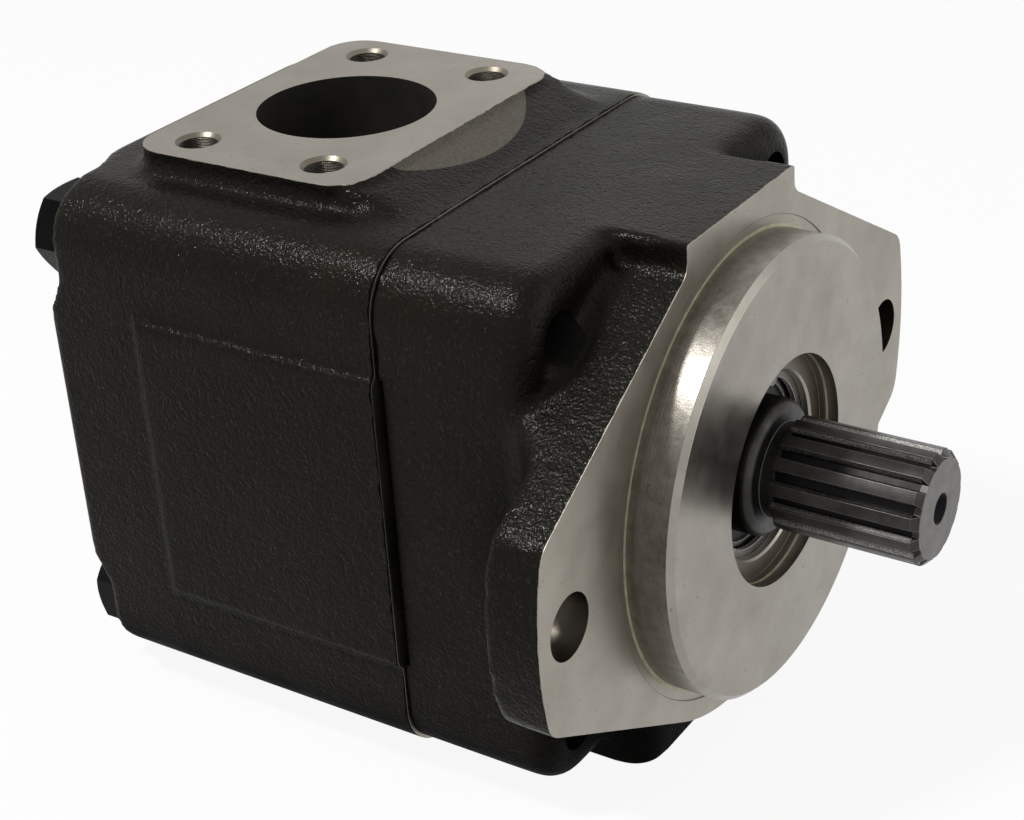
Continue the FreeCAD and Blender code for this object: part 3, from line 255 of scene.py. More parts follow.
def hollow_shade(tree):
    """How far into a hollow a point lies, by ambient occlusion. There the colour is darkened to near black
    as painted shade, and the paint is made dull, as thick dusty paint is.
    """
    open_air = add(tree, "ShaderNodeAmbientOcclusion", {"Distance": 0.045}, samples=8).outputs["AO"]
    return ramp(tree, open_air, 0.90, 0.60)


def off_joint(tree, here):
    """The distance from the plane where the two castings meet."""
    return sums(tree, "ABSOLUTE", sums(tree, "SUBTRACT", axis(tree, here, "X"), JOINT_X))


def joint_shade(tree, here):
    """A ragged band of varying width along the line between the two castings, where the paint is made black
    as a dark seam.
    """
    width = ramp(tree, noise(tree, here, 170.0, 3.0, 0.6), 0.35, 0.70, 0.0002, 0.0013, False)
    return sums(tree, "LESS_THAN", off_joint(tree, here), width)


# How much of the glossy film the paint shows outside its hollows
GLOSS = 0.085


def paint_shader(tree, here):
    """Black paint: a matte film under a thin glossy one, which sparkles on the casting's grain."""
    patches = noise(tree, here, 26.0, 4.0, 0.6)
    brown = ramp(tree, patches, 0.38, 0.70)
    tone = blend(tree, brown, colour(0.0062, 0.0056, 0.0039), colour(0.0092, 0.0075, 0.0050))
    speck = ramp(tree, noise(tree, here, 900.0, 1.0), 0.60, 0.74)
    tone = blend(tree, sums(tree, "MULTIPLY", speck, 0.35), tone, colour(0.040, 0.034, 0.026))
    wear = edge_mask(tree, 0.0009, 0.86, 0.97)
    broken = ramp(tree, noise(tree, here, 330.0, 3.0, 0.7), 0.50, 0.68)
    wear = sums(tree, "MULTIPLY", wear, ramp(tree, off_joint(tree, here), 0.0016, 0.0028))
    rub = sums(tree, "MULTIPLY", sums(tree, "MULTIPLY", wear, broken), 0.22)
    tone = blend(tree, rub, tone, colour(0.080, 0.070, 0.056))
    # Painted shade: in the hollows the colour goes to near black. The same blend also darkens the seam along
    # the joint.
    hollow_shade_and_seam = sums(tree, "MAXIMUM", hollow_shade(tree), joint_shade(tree, here))
    tone = blend(tree, hollow_shade_and_seam, tone, colour(0.0007, 0.0006, 0.0005))
    gloss = ramp(tree, noise(tree, here, 60.0, 3.0), 0.3, 0.7, 0.24, 0.34, False)
    normal = bump(tree, paint_height(tree, here), 0.00030, 1.0)
    inputs = {
        "Base Color": tone,
        "Roughness": sums(tree, "MULTIPLY_ADD", hollow_shade_and_seam, 0.35, gloss),
        "Specular IOR Level": 0.028,
        "Specular Tint": colour(1.0, 0.93, 0.84),
        "Coat Weight": sums(tree, "MULTIPLY_ADD", hollow_shade_and_seam, -GLOSS, GLOSS),
        "Coat Roughness": 0.065,
        "Coat Tint": colour(1.0, 0.95, 0.88),
        "Normal": normal,
        "Coat Normal": normal,
    }
    return add(tree, "ShaderNodeBsdfPrincipled", inputs).outputs[0]


def bare_shader(tree, here):
    """Bare cast iron, where the round mask of the suction port kept the paint off."""
    mottle = noise(tree, here, 1100.0, 3.0, 0.6)
    light = ramp(tree, mottle, 0.32, 0.68)
    tone = blend(tree, light, colour(0.026, 0.022, 0.013), colour(0.062, 0.053, 0.035))
    height = noise(tree, here, 1300.0, 2.0, 0.6)
    normal = bump(tree, height, 0.00010, 0.8)
    inputs = {
        "Base Color": tone,
        "Metallic": 0.2,
        "Roughness": 0.6,
        "Normal": normal,
    }
    return add(tree, "ShaderNodeBsdfPrincipled", inputs).outputs[0]


def mask_patch(tree, here):
    """The part of the ramp that lay under the round mask."""
    reach = around(tree, here, SUCTION_CENTRE, "XY")
    inside = ramp(tree, reach, MASK_RADIUS + 0.0001, MASK_RADIUS - 0.0001)
    front = ramp(tree, axis(tree, here, "X"), SUCTION_ENDS[1] + 0.0010, SUCTION_ENDS[1] + 0.0014)
    up = ramp(tree, axis(tree, here, "Z"), MASK_LOW, MASK_LOW + 0.0006)
    both = sums(tree, "MULTIPLY", inside, front)
    return sums(tree, "MULTIPLY", both, up)


def cut_line(tree, here):
    """A thin ragged line round the flange and the suction pad, just behind their machined faces."""
    ragged = noise(tree, here, 260.0, 3.0, 0.7)
    edge = ramp(tree, ragged, 0.35, 0.65, 0.00005, 0.0003, False)
    front = sums(tree, "GREATER_THAN", axis(tree, here, "X"), sums(tree, "SUBTRACT", FLANGE_X, edge))
    limit = sums(tree, "SUBTRACT", SUCTION_FACE, edge)
    top = sums(tree, "GREATER_THAN", axis(tree, here, "Z"), limit)
    return sums(tree, "MAXIMUM", front, top)


def fresh_cut(tree):
    """The bright iron where the machining has just cut through the paint."""
    inputs = {"Base Color": colour(0.24, 0.22, 0.185), "Metallic": 1.0, "Roughness": 0.45}
    return add(tree, "ShaderNodeBsdfPrincipled", inputs).outputs[0]


def casting_paint():
    material, tree, surface = start_material("casting_paint")
    here = place(tree)
    skins = {0: mask_patch(tree, here), 1: paint_shader(tree, here), 2: bare_shader(tree, here)}
    skin = add(tree, "ShaderNodeMixShader", skins).outputs[0]
    both = {0: cut_line(tree, here), 1: skin, 2: fresh_cut(tree)}
    tree.links.new(add(tree, "ShaderNodeMixShader", both).outputs[0], surface)
    return material


def metal(name, dark, light, rough, scale, lines, grain, edge=None, marks=None, metallic=1.0, specular=0.5):
    """A cloudy metal with tool lines and, where they are given, brightened edges and marks. The bright edges
    are partly worn metal, partly painted highlight.
    """
    material, tree, surface = start_material(name)
    here = place(tree)
    cloud = noise(tree, here, scale, 4.0, 0.6)
    tone = blend(tree, ramp(tree, cloud, 0.3, 0.7), colour(*dark), colour(*light))
    height = noise(tree, here, 1800.0, 2.0, 0.6)
    if lines:
        stripes = lines(tree, here)
        height = sums(tree, "MULTIPLY_ADD", stripes, 1.2, height)
    if edge:
        # Painted highlight, partly worn metal: the edges are made lighter in colour.
        bright = edge_mask(tree, 0.0006, 0.80, 0.97)
        tone = blend(tree, bright, tone, colour(*edge))
    if marks:
        tone = marks(tree, here, tone)
    normal = bump(tree, height, grain, 1.0, soft_edges(tree, 0.0003))
    smear = noise(tree, here, scale * 2.5, 3.0, 0.6)
    inputs = {
        "Base Color": tone,
        "Metallic": metallic,
        "Roughness": ramp(tree, smear, 0.25, 0.75, rough - 0.06, rough + 0.07, False),
        "Specular IOR Level": specular,
        "Normal": normal,
    }
    shader = add(tree, "ShaderNodeBsdfPrincipled", inputs)
    tree.links.new(shader.outputs[0], surface)
    return material


def stains(tree, here, tone):
    """Faint finger stains and small dark specks on the machined faces."""
    smears = ramp(tree, noise(tree, here, 42.0, 5.0, 0.65, 0.6), 0.48, 0.72)
    tone = blend(tree, sums(tree, "MULTIPLY", smears, 0.16), tone, colour(0.10, 0.085, 0.060))
    specks = ramp(tree, noise(tree, here, 620.0, 1.0), 0.72, 0.77)
    return blend(tree, sums(tree, "MULTIPLY", specks, 0.45), tone, colour(0.06, 0.050, 0.036))


def spline_tone_and_painted_light(tree, here, tone):
    """The drive spline: dark hardened crests, flanks painted brighter where the light falls on them, and
    roots and centre hole painted black as shade.
    """
    reach = around(tree, here, (0.0, 0.0))
    grain = ramp(tree, noise(tree, here, 2600.0, 2.0, 0.6), 0.35, 0.65)
    lit_flank = blend(tree, grain, colour(0.12, 0.115, 0.108), colour(0.36, 0.35, 0.33))
    along = axis(tree, here, "X")
    out = ramp(tree, along, SPLINE_START - 0.0005, SPLINE_START + 0.0005)
    before_tip = ramp(tree, along, SPLINE_TIP - 0.00185, SPLINE_TIP - 0.00195)
    toothed = sums(tree, "MULTIPLY", out, before_tip)
    below_crest = ramp(tree, reach, SPLINE_CREST_RADIUS, SPLINE_CREST_RADIUS - 0.0003)
    # Painted light: the flanks are lighter as if lit, and the roots black as shade.
    tone = blend(tree, sums(tree, "MULTIPLY", below_crest, toothed), tone, lit_flank)
    near_root = ramp(tree, reach, SPLINE_ROOT_RADIUS, SPLINE_ROOT_RADIUS - 0.0004)
    root_shade = sums(tree, "MULTIPLY", near_root, toothed)
    tone = blend(tree, root_shade, tone, colour(0.012, 0.011, 0.011))
    face = blend(tree, grain, colour(0.105, 0.100, 0.092), colour(0.135, 0.129, 0.119))
    tone = blend(tree, ramp(tree, along, SPLINE_TIP - 0.00010, SPLINE_TIP - 0.00005), tone, face)
    # The centre hole is painted black as shade.
    hole = ramp(tree, reach, CENTRE_HOLE_RADIUS, CENTRE_HOLE_RADIUS - 0.00025)
    return blend(tree, hole, tone, colour(0.010, 0.010, 0.011))


def stretch(tree, vector, scale):
    return add(tree, "ShaderNodeMapping", {"Vector": vector, "Scale": scale}).outputs[0]


def turned_lines(tree, here):
    """Fine rings round the shaft's axis, as a lathe leaves them."""
    reach = around(tree, here, (0.0, 0.0))
    along = axis(tree, here, "X")
    line = add(tree, "ShaderNodeCombineXYZ", {"X": reach, "Y": along}).outputs[0]
    return noise(tree, stretch(tree, line, (4200.0, 4200.0, 1.0)), 1.0, 1.0)


def milled_lines(tree, here):
    """Fine straight lines along the pump, as a mill leaves them."""
    return noise(tree, stretch(tree, here, (60.0, 2600.0, 2600.0)), 1.0, 2.0)


def thread_lines(tree, here):
    """The turns of the threads, all in upright holes."""
    upright = stretch(tree, here, (0.0, 0.0, 670.0))
    wave = add(tree, "ShaderNodeTexWave", {"Vector": upright, "Scale": 1.0}, bands_direction="Z")
    return wave.outputs["Fac"]


def rubber():
    material, tree, surface = start_material("seal_rubber")
    here = place(tree)
    cloud = noise(tree, here, 300.0, 3.0)
    tone = blend(tree, cloud, colour(0.008, 0.008, 0.008), colour(0.022, 0.021, 0.020))
    normal = bump(tree, noise(tree, here, 1600.0, 2.0), 0.00006)
    inputs = {"Base Color": tone, "Roughness": 0.5, "Normal": normal}
    shader = add(tree, "ShaderNodeBsdfPrincipled", inputs)
    tree.links.new(shader.outputs[0], surface)
    return material


def iron(name, dark, light, rough, scale, lines, grain, **rest):
    """The iron of the two castings, where it has been cut or cored."""
    return metal(f"{name}_iron", dark, light, rough, scale, lines, grain, **rest)


FINISH = {
    "paint": casting_paint(),
    "milled": iron(
        "milled", (0.285, 0.263, 0.222), (0.345, 0.322, 0.276), 0.37, 30.0, milled_lines, 0.000010,
        marks=stains,
    ),
    # Painted shade: the top port face's iron is darker than the flange's milled iron, because the top face
    # is lit more brightly.
    "port": iron(
        "port", (0.215, 0.196, 0.163), (0.260, 0.239, 0.202), 0.42, 18.0, milled_lines, 0.000010,
        marks=stains,
    ),
    "turned": iron(
        "turned", (0.265, 0.245, 0.212), (0.325, 0.305, 0.268), 0.31, 35.0, turned_lines, 0.000016,
        marks=stains,
    ),
    # Painted shade: a darker copy of the turned iron for the pilot's outer face, which shows darker under
    # this light.
    "rim": iron(
        "pilot_rim_shaded", (0.165, 0.152, 0.131), (0.225, 0.210, 0.184), 0.33, 320.0, turned_lines, 0.000030,
        marks=stains,
    ),
    "worn": iron(
        "worn", (0.115, 0.100, 0.078), (0.175, 0.155, 0.125), 0.40, 45.0, turned_lines, 0.000020
    ),
    "oiled": iron(
        "oiled", (0.42, 0.38, 0.25), (0.60, 0.55, 0.38), 0.45, 300.0, None, 0.00003, metallic=0.4
    ),
    # Painted shade: the bored iron is darkened for the shade inside the lug holes and bores.
    "bored_shade": iron(
        "bored_shade", (0.050, 0.043, 0.033), (0.100, 0.088, 0.070), 0.40, 60.0, turned_lines, 0.00002
    ),
    # Painted shade: near black for the shade deep in the cored passages and screw holes.
    "core_shade": iron(
        "cored_shade", (0.004, 0.0036, 0.003), (0.010, 0.0085, 0.007), 0.62, 90.0, None, 0.00022,
        metallic=0.0, specular=0.2,
    ),
    # Painted shade: the tapped iron is darkened for the shade inside the tapped holes.
    "thread": iron(
        "tapped", (0.045, 0.040, 0.032), (0.13, 0.118, 0.098), 0.33, 200.0, thread_lines, 0.0005
    ),
    "shaft": metal(
        "shaft_steel", (0.026, 0.025, 0.024), (0.055, 0.053, 0.050), 0.38, 90.0, turned_lines, 0.000016,
        edge=(0.15, 0.145, 0.14), marks=spline_tone_and_painted_light,
    ),
    "black": metal(
        "blackened_steel", (0.0012, 0.0011, 0.0010), (0.003, 0.0028, 0.0026), 0.34, 120.0, None, 0.00003,
        edge=(0.03, 0.027, 0.025), metallic=0.0, specular=0.04,
    ),
    "ring": metal(
        "ring_steel", (0.14, 0.135, 0.13), (0.24, 0.23, 0.22), 0.28, 80.0, turned_lines, 0.000012,
        edge=(0.45, 0.44, 0.42),
    ),
    "ground": metal(
        "ground_steel", (0.36, 0.35, 0.34), (0.46, 0.45, 0.44), 0.18, 30.0, turned_lines, 0.000008,
        edge=(0.6, 0.59, 0.57),
    ),
    "plate": metal(
        "plate_iron", (0.25, 0.24, 0.22), (0.36, 0.35, 0.32), 0.30, 40.0, turned_lines, 0.000012,
        edge=(0.5, 0.49, 0.46),
    ),
    "bronze": metal(
        "bronze", (0.36, 0.21, 0.10), (0.50, 0.31, 0.16), 0.28, 50.0, turned_lines, 0.000012,
        edge=(0.66, 0.45, 0.26),
    ),
    "brass": metal(
        "brass", (0.48, 0.36, 0.15), (0.62, 0.48, 0.22), 0.24, 50.0, turned_lines, 0.000012,
        edge=(0.75, 0.61, 0.34),
    ),
    "rubber": rubber(),
}


# Finishes of the pieces

def dress(name, finish):
    """Gives a node of the frame its one material."""
    mesh = NODES[name].data
    mesh.materials.clear()
    mesh.materials.append(FINISH[finish])


NODE_FINISH = {
    "front_housing": "paint",
    "rear_housing": "paint",
    "housing_screws": "black",
    "joint_seal": "rubber",
    "bearing_outer_race": "ground",
    "bearing_retaining_ring": "ring",
    "seal_case": "ring",
    "seal_lip": "rubber",
    "seal_spring": "ring",
    "seal_retaining_ring": "ring",
    "outlet_support_plate": "plate",
    "outlet_hub_seal": "rubber",
    "outlet_rim_seal": "rubber",
    "front_wear_plate": "bronze",
    "cam_ring": "ground",
    "rear_wear_plate": "bronze",
    "inlet_support_plate": "plate",
    "inlet_hub_seal": "rubber",
    "shaft_bush": "bronze",
    "cartridge_screws": "black",
    "cartridge_dowels": "ground",
    "drive_shaft": "shaft",
    "rotor": "plate",
    "vane_inserts": "ground",
    "bearing_inner_race": "ground",
    "shaft_circlip": "ring",
    "bearing_cage": "brass",
    "bearing_balls": "ground",
}


def dress_everything():
    """Every node that has no line of its own is a vane."""
    for name in NODES:
        dress(name, NODE_FINISH.get(name, "ground"))


# Castings: the raw shape is softened as a sand casting is, and the machining is cut into it afterwards

SLOTS = ["paint", "milled", "port", "turned", "rim", "worn", "oiled", "bored_shade", "core_shade", "thread"]
VOXEL = 0.0010
FACES_KEPT = 0.45
SHARP_ANGLE = 32
# Metal left on a face or in a bore for the machining
ALLOWANCE = 0.0020
# How far a cutter starts outside the metal
CLEAR = 0.0010
# Places outside the whole pump, for the ends of the cutters
OUTSIDE = 0.12
LATHE_FRONT = 0.0300
LATHE_REACH = 0.1300


def slot_of(finish):
    return SLOTS.index(finish)


def axis_frame(direction):
    """The turn that takes the Z axis to the direction."""
    return Vector(direction).to_track_quat("Z", "Y").to_matrix().to_4x4()


def add_round(stock, centre, direction, radius, length, sides=64):
    """A closed cylinder that starts at the centre and runs along the direction."""
    middle = Vector(centre) + Vector(direction) * (length / 2)
    where = Matrix.Translation(middle) @ axis_frame(direction)
    shape = {"segments": sides, "radius1": radius, "radius2": radius, "depth": length}
    bmesh.ops.create_cone(stock, matrix=where, cap_ends=True, **shape)


def add_hull(stock, points):
    """The closed convex solid round some points."""
    fresh = [stock.verts.new(point) for point in points]
    bmesh.ops.convex_hull(stock, input=fresh)


def add_block(stock, low, high):
    add_hull(stock, list(itertools.product(*zip(low, high))))


def start_stock(name):
    """The solid's mesh, welded into one closed skin.

    The callers then put plugs over its holes, each a little wider and longer than the hole that it fills.
    """
    stock = bmesh.new()
    stock.from_mesh(NODES[name].data)
    bmesh.ops.remove_doubles(stock, verts=stock.verts, dist=0.000001)
    return stock


def push(stock, chosen, step):
    """Moves the chosen points of the stock, which leaves metal on a face."""
    for vertex in stock.verts:
        if chosen(vertex.co):
            vertex.co += Vector(step)


def circle(radius, sides):
    turns = [2 * math.pi * i / sides for i in range(sides)]
    return [(radius * math.cos(turn), radius * math.sin(turn)) for turn in turns]


def add_band(mesh, first, second, finish):
    """The faces between two rings of points. A ring at the axis is one point many times over."""
    faces = []
    for i in range(len(first)):
        j = (i + 1) % len(first)
        corners = [first[i], first[j], second[j], second[i]]
        face = mesh.faces.new(list(dict.fromkeys(corners)))
        face.material_index = slot_of(finish)
        face.smooth = True
        faces.append(face)
    return faces


def turned_cutter(profile, sides=160):
    """Everything that the lathe takes away: a profile turned about the axis of the shaft.

    Each point of the profile holds its place along the axis, its radius, and the finish up to the next.
    """
    mesh = bmesh.new()
    rings = []
    for along, radius, _ in profile:
        if radius == 0.0:
            rings.append([mesh.verts.new((along, 0.0, 0.0))] * sides)
        else:
            rings.append([mesh.verts.new((along, *spot)) for spot in circle(radius, sides)])
    for index in range(len(profile) - 1):
        add_band(mesh, rings[index], rings[index + 1], profile[index][2])
    bmesh.ops.recalc_face_normals(mesh, faces=mesh.faces)
    return mesh


def drilled_cutter(mesh, centre, direction, steps, sides=64):
    """A stepped hole, closed at both ends. Each step holds its depth from the mouth, radius and finish."""
    where = Matrix.Translation(centre) @ axis_frame(direction)
    rings = []
    for depth, radius, _ in steps:
        ring = [where @ Vector((*spot, depth)) for spot in circle(radius, sides)]
        rings.append([mesh.verts.new(point) for point in ring])
    fresh = []
    for index in range(len(steps) - 1):
        fresh += add_band(mesh, rings[index], rings[index + 1], steps[index][2])
    fresh.append(mesh.faces.new(rings[0][::-1]))
    end = mesh.faces.new(rings[-1])
    end.material_index = slot_of(steps[-1][2])
    fresh.append(end)
    bmesh.ops.recalc_face_normals(mesh, faces=fresh)


def plain_hole(mesh, centre, direction, radius, depth, finish, sides=64):
    drilled_cutter(mesh, centre, direction, [(0, radius, finish), (depth, radius, finish)], sides)


def tapped_hole(mesh, centre, direction, mouth, rim, thread, depth):
    """A tapped hole with a countersunk mouth, which has the rim finish."""
    steps = [(0, mouth[1], rim), (mouth[0], thread, "thread"), (depth, thread, "thread")]
    drilled_cutter(mesh, centre, direction, steps)


def box_cutter(mesh, low, high, finish):
    """A box that the mill takes away."""
    before = set(mesh.faces)
    add_block(mesh, low, high)
    for face in set(mesh.faces) - before:
        face.material_index = slot_of(finish)


def finish_object(name, mesh):
    """An object with a slot for each finish of the castings."""
    data = bpy.data.meshes.new(name)
    mesh.to_mesh(data)
    mesh.free()
    for finish in SLOTS:
        data.materials.append(FINISH[finish])
    return new_object(name, data)


def apply_modifiers(item, name):
    depsgraph = bpy.context.evaluated_depsgraph_get()
    shaped = bpy.data.meshes.new_from_object(item.evaluated_get(depsgraph), depsgraph=depsgraph)
    shaped.name = name
    item.modifiers.clear()
    item.data = shaped
    return shaped


def add_smoothing(casting, times, group):
    smooth = casting.modifiers.new("soften", "SMOOTH")
    smooth.factor = 0.5
    smooth.iterations = times
    smooth.vertex_group = group


def machine(stock, cutters, name, soft_places):
    """Softens the stock, thins out its faces, and takes each cutter away from it.

    Each soft place holds a rule that gives every point its share of the smoothing, and the number of passes.
    """
    casting = finish_object(name, stock)
    remesh = casting.modifiers.new("grid", "REMESH")
    remesh.mode = "VOXEL"
    remesh.voxel_size = VOXEL
    remesh.use_smooth_shade = True
    grid = apply_modifiers(casting, name)
    for number, (share, times) in enumerate(soft_places):
        group = casting.vertex_groups.new(name=f"soft_{number}")
        for vertex in grid.vertices:
            weight = share(vertex.co)
            if weight > 0:
                group.add([vertex.index], weight, "REPLACE")
        add_smoothing(casting, times, group.name)
    thin = casting.modifiers.new("thin", "DECIMATE")
    thin.ratio = FACES_KEPT
    for cutter in cutters:
        cut = casting.modifiers.new("cut", "BOOLEAN")
        cut.operation = "DIFFERENCE"
        cut.solver = "EXACT"
        cut.object = cutter
    shaped = apply_modifiers(casting, name)
    for cutter in cutters:
        bpy.data.objects.remove(cutter)
    shaped.set_sharp_from_angle(angle=math.radians(SHARP_ANGLE))
    return casting


def corner_places(reach):
    """The four corners of a square round the axis of the shaft."""
    return [(y, z) for y in (-reach, reach) for z in (-reach, reach)]


def around_port(centre, along, across):
    """The four holes round a port."""
    return [(centre[0] + x, centre[1] + y) for x in (-along, along) for y in (-across, across)]


def fade(value, low, high):
    """From 0 at low to 1 at high."""
    return min(1.0, max(0.0, (value - low) / (high - low)))


def all_over(_):
    return 1.0


def all_but_pads(point):
    """The whole casting, but less along the crisp rims of its side pads."""
    off_top = abs(abs(point.z) - PAD_HALF_HEIGHT)
    off_back = abs(point.x - PAD_BACK)
    on_side = abs(point.y) > 0.0725 and abs(point.z) < PAD_HALF_HEIGHT + 0.005
    return 0.15 if on_side and min(off_top, off_back) < 0.004 else 1.0


def behind_flange(point):
    """The hollows between the flange's sloping edges and the screw bosses."""
    if abs(point.y) < 0.028 or abs(point.z) < 0.020:
        return 0.0
    return fade(point.x, -0.034, -0.030) * fade(point.x, -0.0075, -0.0105)


def port_foot(point):
    """The foot of the suction port's wall and of its ramp."""
    return fade(point.z, 0.0700, 0.0730) * fade(point.z, 0.0792, 0.0778)


def ramp_tip(point):
    """The two lower corners of the ramp, which run out into the top of the casting."""
    near_x = fade(abs(point.x - RAMP_END), 0.0130, 0.0070)
    near_y = fade(abs(abs(point.y) - 0.0500), 0.0130, 0.0070)
    return near_x * near_y * fade(point.z, 0.0700, 0.0730) * fade(point.z, 0.0800, 0.0790)


# Front casting

def slope_filler(stock, side):
    """Metal in the corner between a boss and the sloping edge of the flange, for a soft hollow there."""
    slope_ends = [(0.0330, 0.0652), (0.0640, 0.0473)]
    points = []
    for y, z in slope_ends:
        points.append((-0.0210, side * (y - 0.001), z - 0.0017))
        points.append((-0.0210, side * (y + 0.0024), z + 0.0042))
        points.append((-0.0150, side * (y - 0.0002), z - 0.0003))
    add_hull(stock, points)


def on_flange_face(point):
    """True for points of the flange's face and of the relief round the pilot."""
    return abs(point.x + 0.0002) < 0.0005 and math.hypot(point.y, point.z) > PILOT_RADIUS - 0.0001


def front_stock():
    """The raw front casting, with its holes filled and metal left on for the machining."""
    stock = start_stock("front_housing")
    push(stock, on_flange_face, (ALLOWANCE, 0, 0))
    push(stock, lambda p: p.x < JOINT_X + 0.0001, (-ALLOWANCE, 0, 0))
    push(stock, lambda p: p.z < OUTLET_FACE + 0.0001, (0, 0, -ALLOWANCE))
    back = JOINT_X - ALLOWANCE
    pilot_length = PILOT_FRONT + ALLOWANCE - back
    add_round(stock, (back, 0, 0), FORWARD, PILOT_RADIUS + ALLOWANCE, pilot_length, 160)
    add_round(stock, (back, 0, 0), FORWARD, JOINT_SEAL_OUTSIDE + 0.0012, 0.0090, 160)
    for y, z in corner_places(SCREW_PLACE):
        add_round(stock, (back, y, z), FORWARD, SCREW_HOLE_RADIUS + 0.0004, -0.0201 - back)
    for side in SIDES:
        lug_back = (FLANGE_BACK, side * LUG_HOLE_PLACE, 0)
        add_round(stock, lug_back, FORWARD, LUG_HOLE_RADIUS + 0.00035, ALLOWANCE - FLANGE_BACK)
        inside, outside = sorted((side * 0.0705, side * 0.0729))
        reach = PAD_HALF_HEIGHT + 0.0005
        add_block(stock, (back, inside, -reach), (-0.0625, outside, reach))
        slope_filler(stock, side)
    low = OUTLET_FACE - ALLOWANCE
    add_round(stock, (*OUTLET_CENTRE, low), UP, OUTLET_BORE + 0.0005, 0.0370)
    for x, y in around_port(OUTLET_CENTRE, *OUTLET_TAPS):
        add_round(stock, (x, y, low), UP, 0.0060, 0.0230)
    return stock


# Every face that the lathe cuts in the front casting, from outside the flange in to the cartridge
FRONT_PROFILE = [
    (LATHE_FRONT, 0.0, "milled"),
    (LATHE_FRONT, LATHE_REACH, "milled"),
    (FLANGE_X, LATHE_REACH, "milled"),
    (FLANGE_X, RELIEF_RADIUS, "turned"),
    (RELIEF_FLOOR, RELIEF_RADIUS, "milled"),
    (RELIEF_FLOOR, PILOT_RADIUS + 0.0009, "oiled"),
    (RELIEF_FLOOR, PILOT_RADIUS, "rim"),
    (PILOT_FRONT - PILOT_CHAMFER, PILOT_RADIUS, "turned"),
    (PILOT_FRONT, PILOT_RADIUS - PILOT_CHAMFER, "turned"),
    (PILOT_FRONT, RECESS_RADIUS, "worn"),
    (RECESS_OIL_LINE + 0.0005, RECESS_RADIUS, "oiled"),
    (RECESS_OIL_LINE, RECESS_RADIUS - 0.0003, "worn"),
    (RECESS_FLOOR, RECESS_RADIUS - 0.0003, "worn"),
    (RECESS_FLOOR, SEAL_RADIUS + 0.0006, "turned"),
    (RECESS_FLOOR - 0.0006, SEAL_RADIUS, "turned"),
    (SEAL_RING_FRONT, SEAL_RADIUS, "turned"),
    (SEAL_RING_FRONT, SEAL_RING_RADIUS, "turned"),
    (SEAL_RING_BACK, SEAL_RING_RADIUS, "turned"),
    (SEAL_RING_BACK, SEAL_RADIUS, "turned"),
    (SEAL_BACK, SEAL_RADIUS, "turned"),
    (SEAL_BACK, PASSAGE_RADIUS, "turned"),
    (CIRCLIP_FRONT, PASSAGE_RADIUS, "turned"),
    (CIRCLIP_FRONT, CIRCLIP_RADIUS, "turned"),
    (BEARING_FRONT, CIRCLIP_RADIUS, "turned"),
    (BEARING_FRONT, BEARING_RADIUS, "turned"),
    (BEARING_BACK, BEARING_RADIUS, "turned"),
    (BEARING_BACK, BEARING_RING_RADIUS, "turned"),
    (BEARING_RING_BACK, BEARING_RING_RADIUS, "turned"),
    (BEARING_RING_BACK, BEARING_RADIUS, "turned"),
    (HUB_ROOM_FRONT, BEARING_RADIUS, "turned"),
    (HUB_ROOM_FRONT, HUB_ROOM_RADIUS, "turned"),
    (CHAMBER_BACK, HUB_ROOM_RADIUS, "turned"),
    (CHAMBER_BACK, CHAMBER_INSIDE, "bored_shade"),
    (CHAMBER_FRONT, CHAMBER_INSIDE, "core_shade"),
    (CHAMBER_FRONT, CHAMBER_OUTSIDE, "core_shade"),
    (CARTRIDGE_FRONT, CHAMBER_OUTSIDE, "turned"),
    (CARTRIDGE_FRONT, CARTRIDGE_RADIUS, "turned"),
    (JOINT_X - 0.0005, CARTRIDGE_RADIUS, "turned"),
    (JOINT_X - 0.0005, JOINT_SEAL_INSIDE, "turned"),
    (JOINT_SEAL_FLOOR, JOINT_SEAL_INSIDE, "turned"),
    (JOINT_SEAL_FLOOR, JOINT_SEAL_OUTSIDE, "turned"),
    (JOINT_X - 0.0005, JOINT_SEAL_OUTSIDE, "turned"),
    (JOINT_X - 0.0005, JOINT_SEAL_OUTSIDE + 0.0006, "turned"),
    (JOINT_X - 0.0040, JOINT_SEAL_OUTSIDE + 0.0006, "turned"),
    (JOINT_X - 0.0040, 0.0, "turned"),
]


def front_casting():
    lathe = finish_object("lathe", turned_cutter(FRONT_PROFILE))
    faces = bmesh.new()
    joint_face = ((JOINT_X - 0.01, -OUTSIDE, -0.0815), (JOINT_X, OUTSIDE, OUTSIDE))
    outlet_face = ((-0.0645, -0.06, -0.10), (-0.005, 0.06, OUTLET_FACE))
    for low, high in (joint_face, outlet_face):
        box_cutter(faces, low, high, "milled")
    faces = finish_object("face_mills", faces)
    drills = bmesh.new()
    for side in SIDES:
        mouth = (CLEAR, side * LUG_HOLE_PLACE, 0)
        plain_hole(drills, mouth, BACKWARD, LUG_HOLE_RADIUS, 0.032, "bored_shade")
        inside, outside = sorted(side * reach for reach in SIDE_GAP)
        low = (JOINT_X - CLEAR, inside, -PAD_HALF_HEIGHT)
        box_cutter(drills, low, (-0.0632, outside, PAD_HALF_HEIGHT), "paint")
    for y, z in corner_places(SCREW_PLACE):
        plain_hole(drills, (-0.016, y, z), BACKWARD, SCREW_HOLE_RADIUS, 0.050, "core_shade")
    low = OUTLET_FACE - CLEAR
    plain_hole(drills, (*OUTLET_CENTRE, low), UP, OUTLET_BORE, -0.0495 - low, "bored_shade")
    for x, y in around_port(OUTLET_CENTRE, *OUTLET_TAPS):
        tapped_hole(drills, (x, y, low), UP, (0.0022, 0.0065), "bored_shade", OUTLET_TAP_RADIUS, 0.0200)
    drills = finish_object("drills", drills)
    soft_places = [(all_over, 5), (behind_flange, 25)]
    return machine(front_stock(), [lathe, faces, drills], "front_casting", soft_places)


# Rear casting

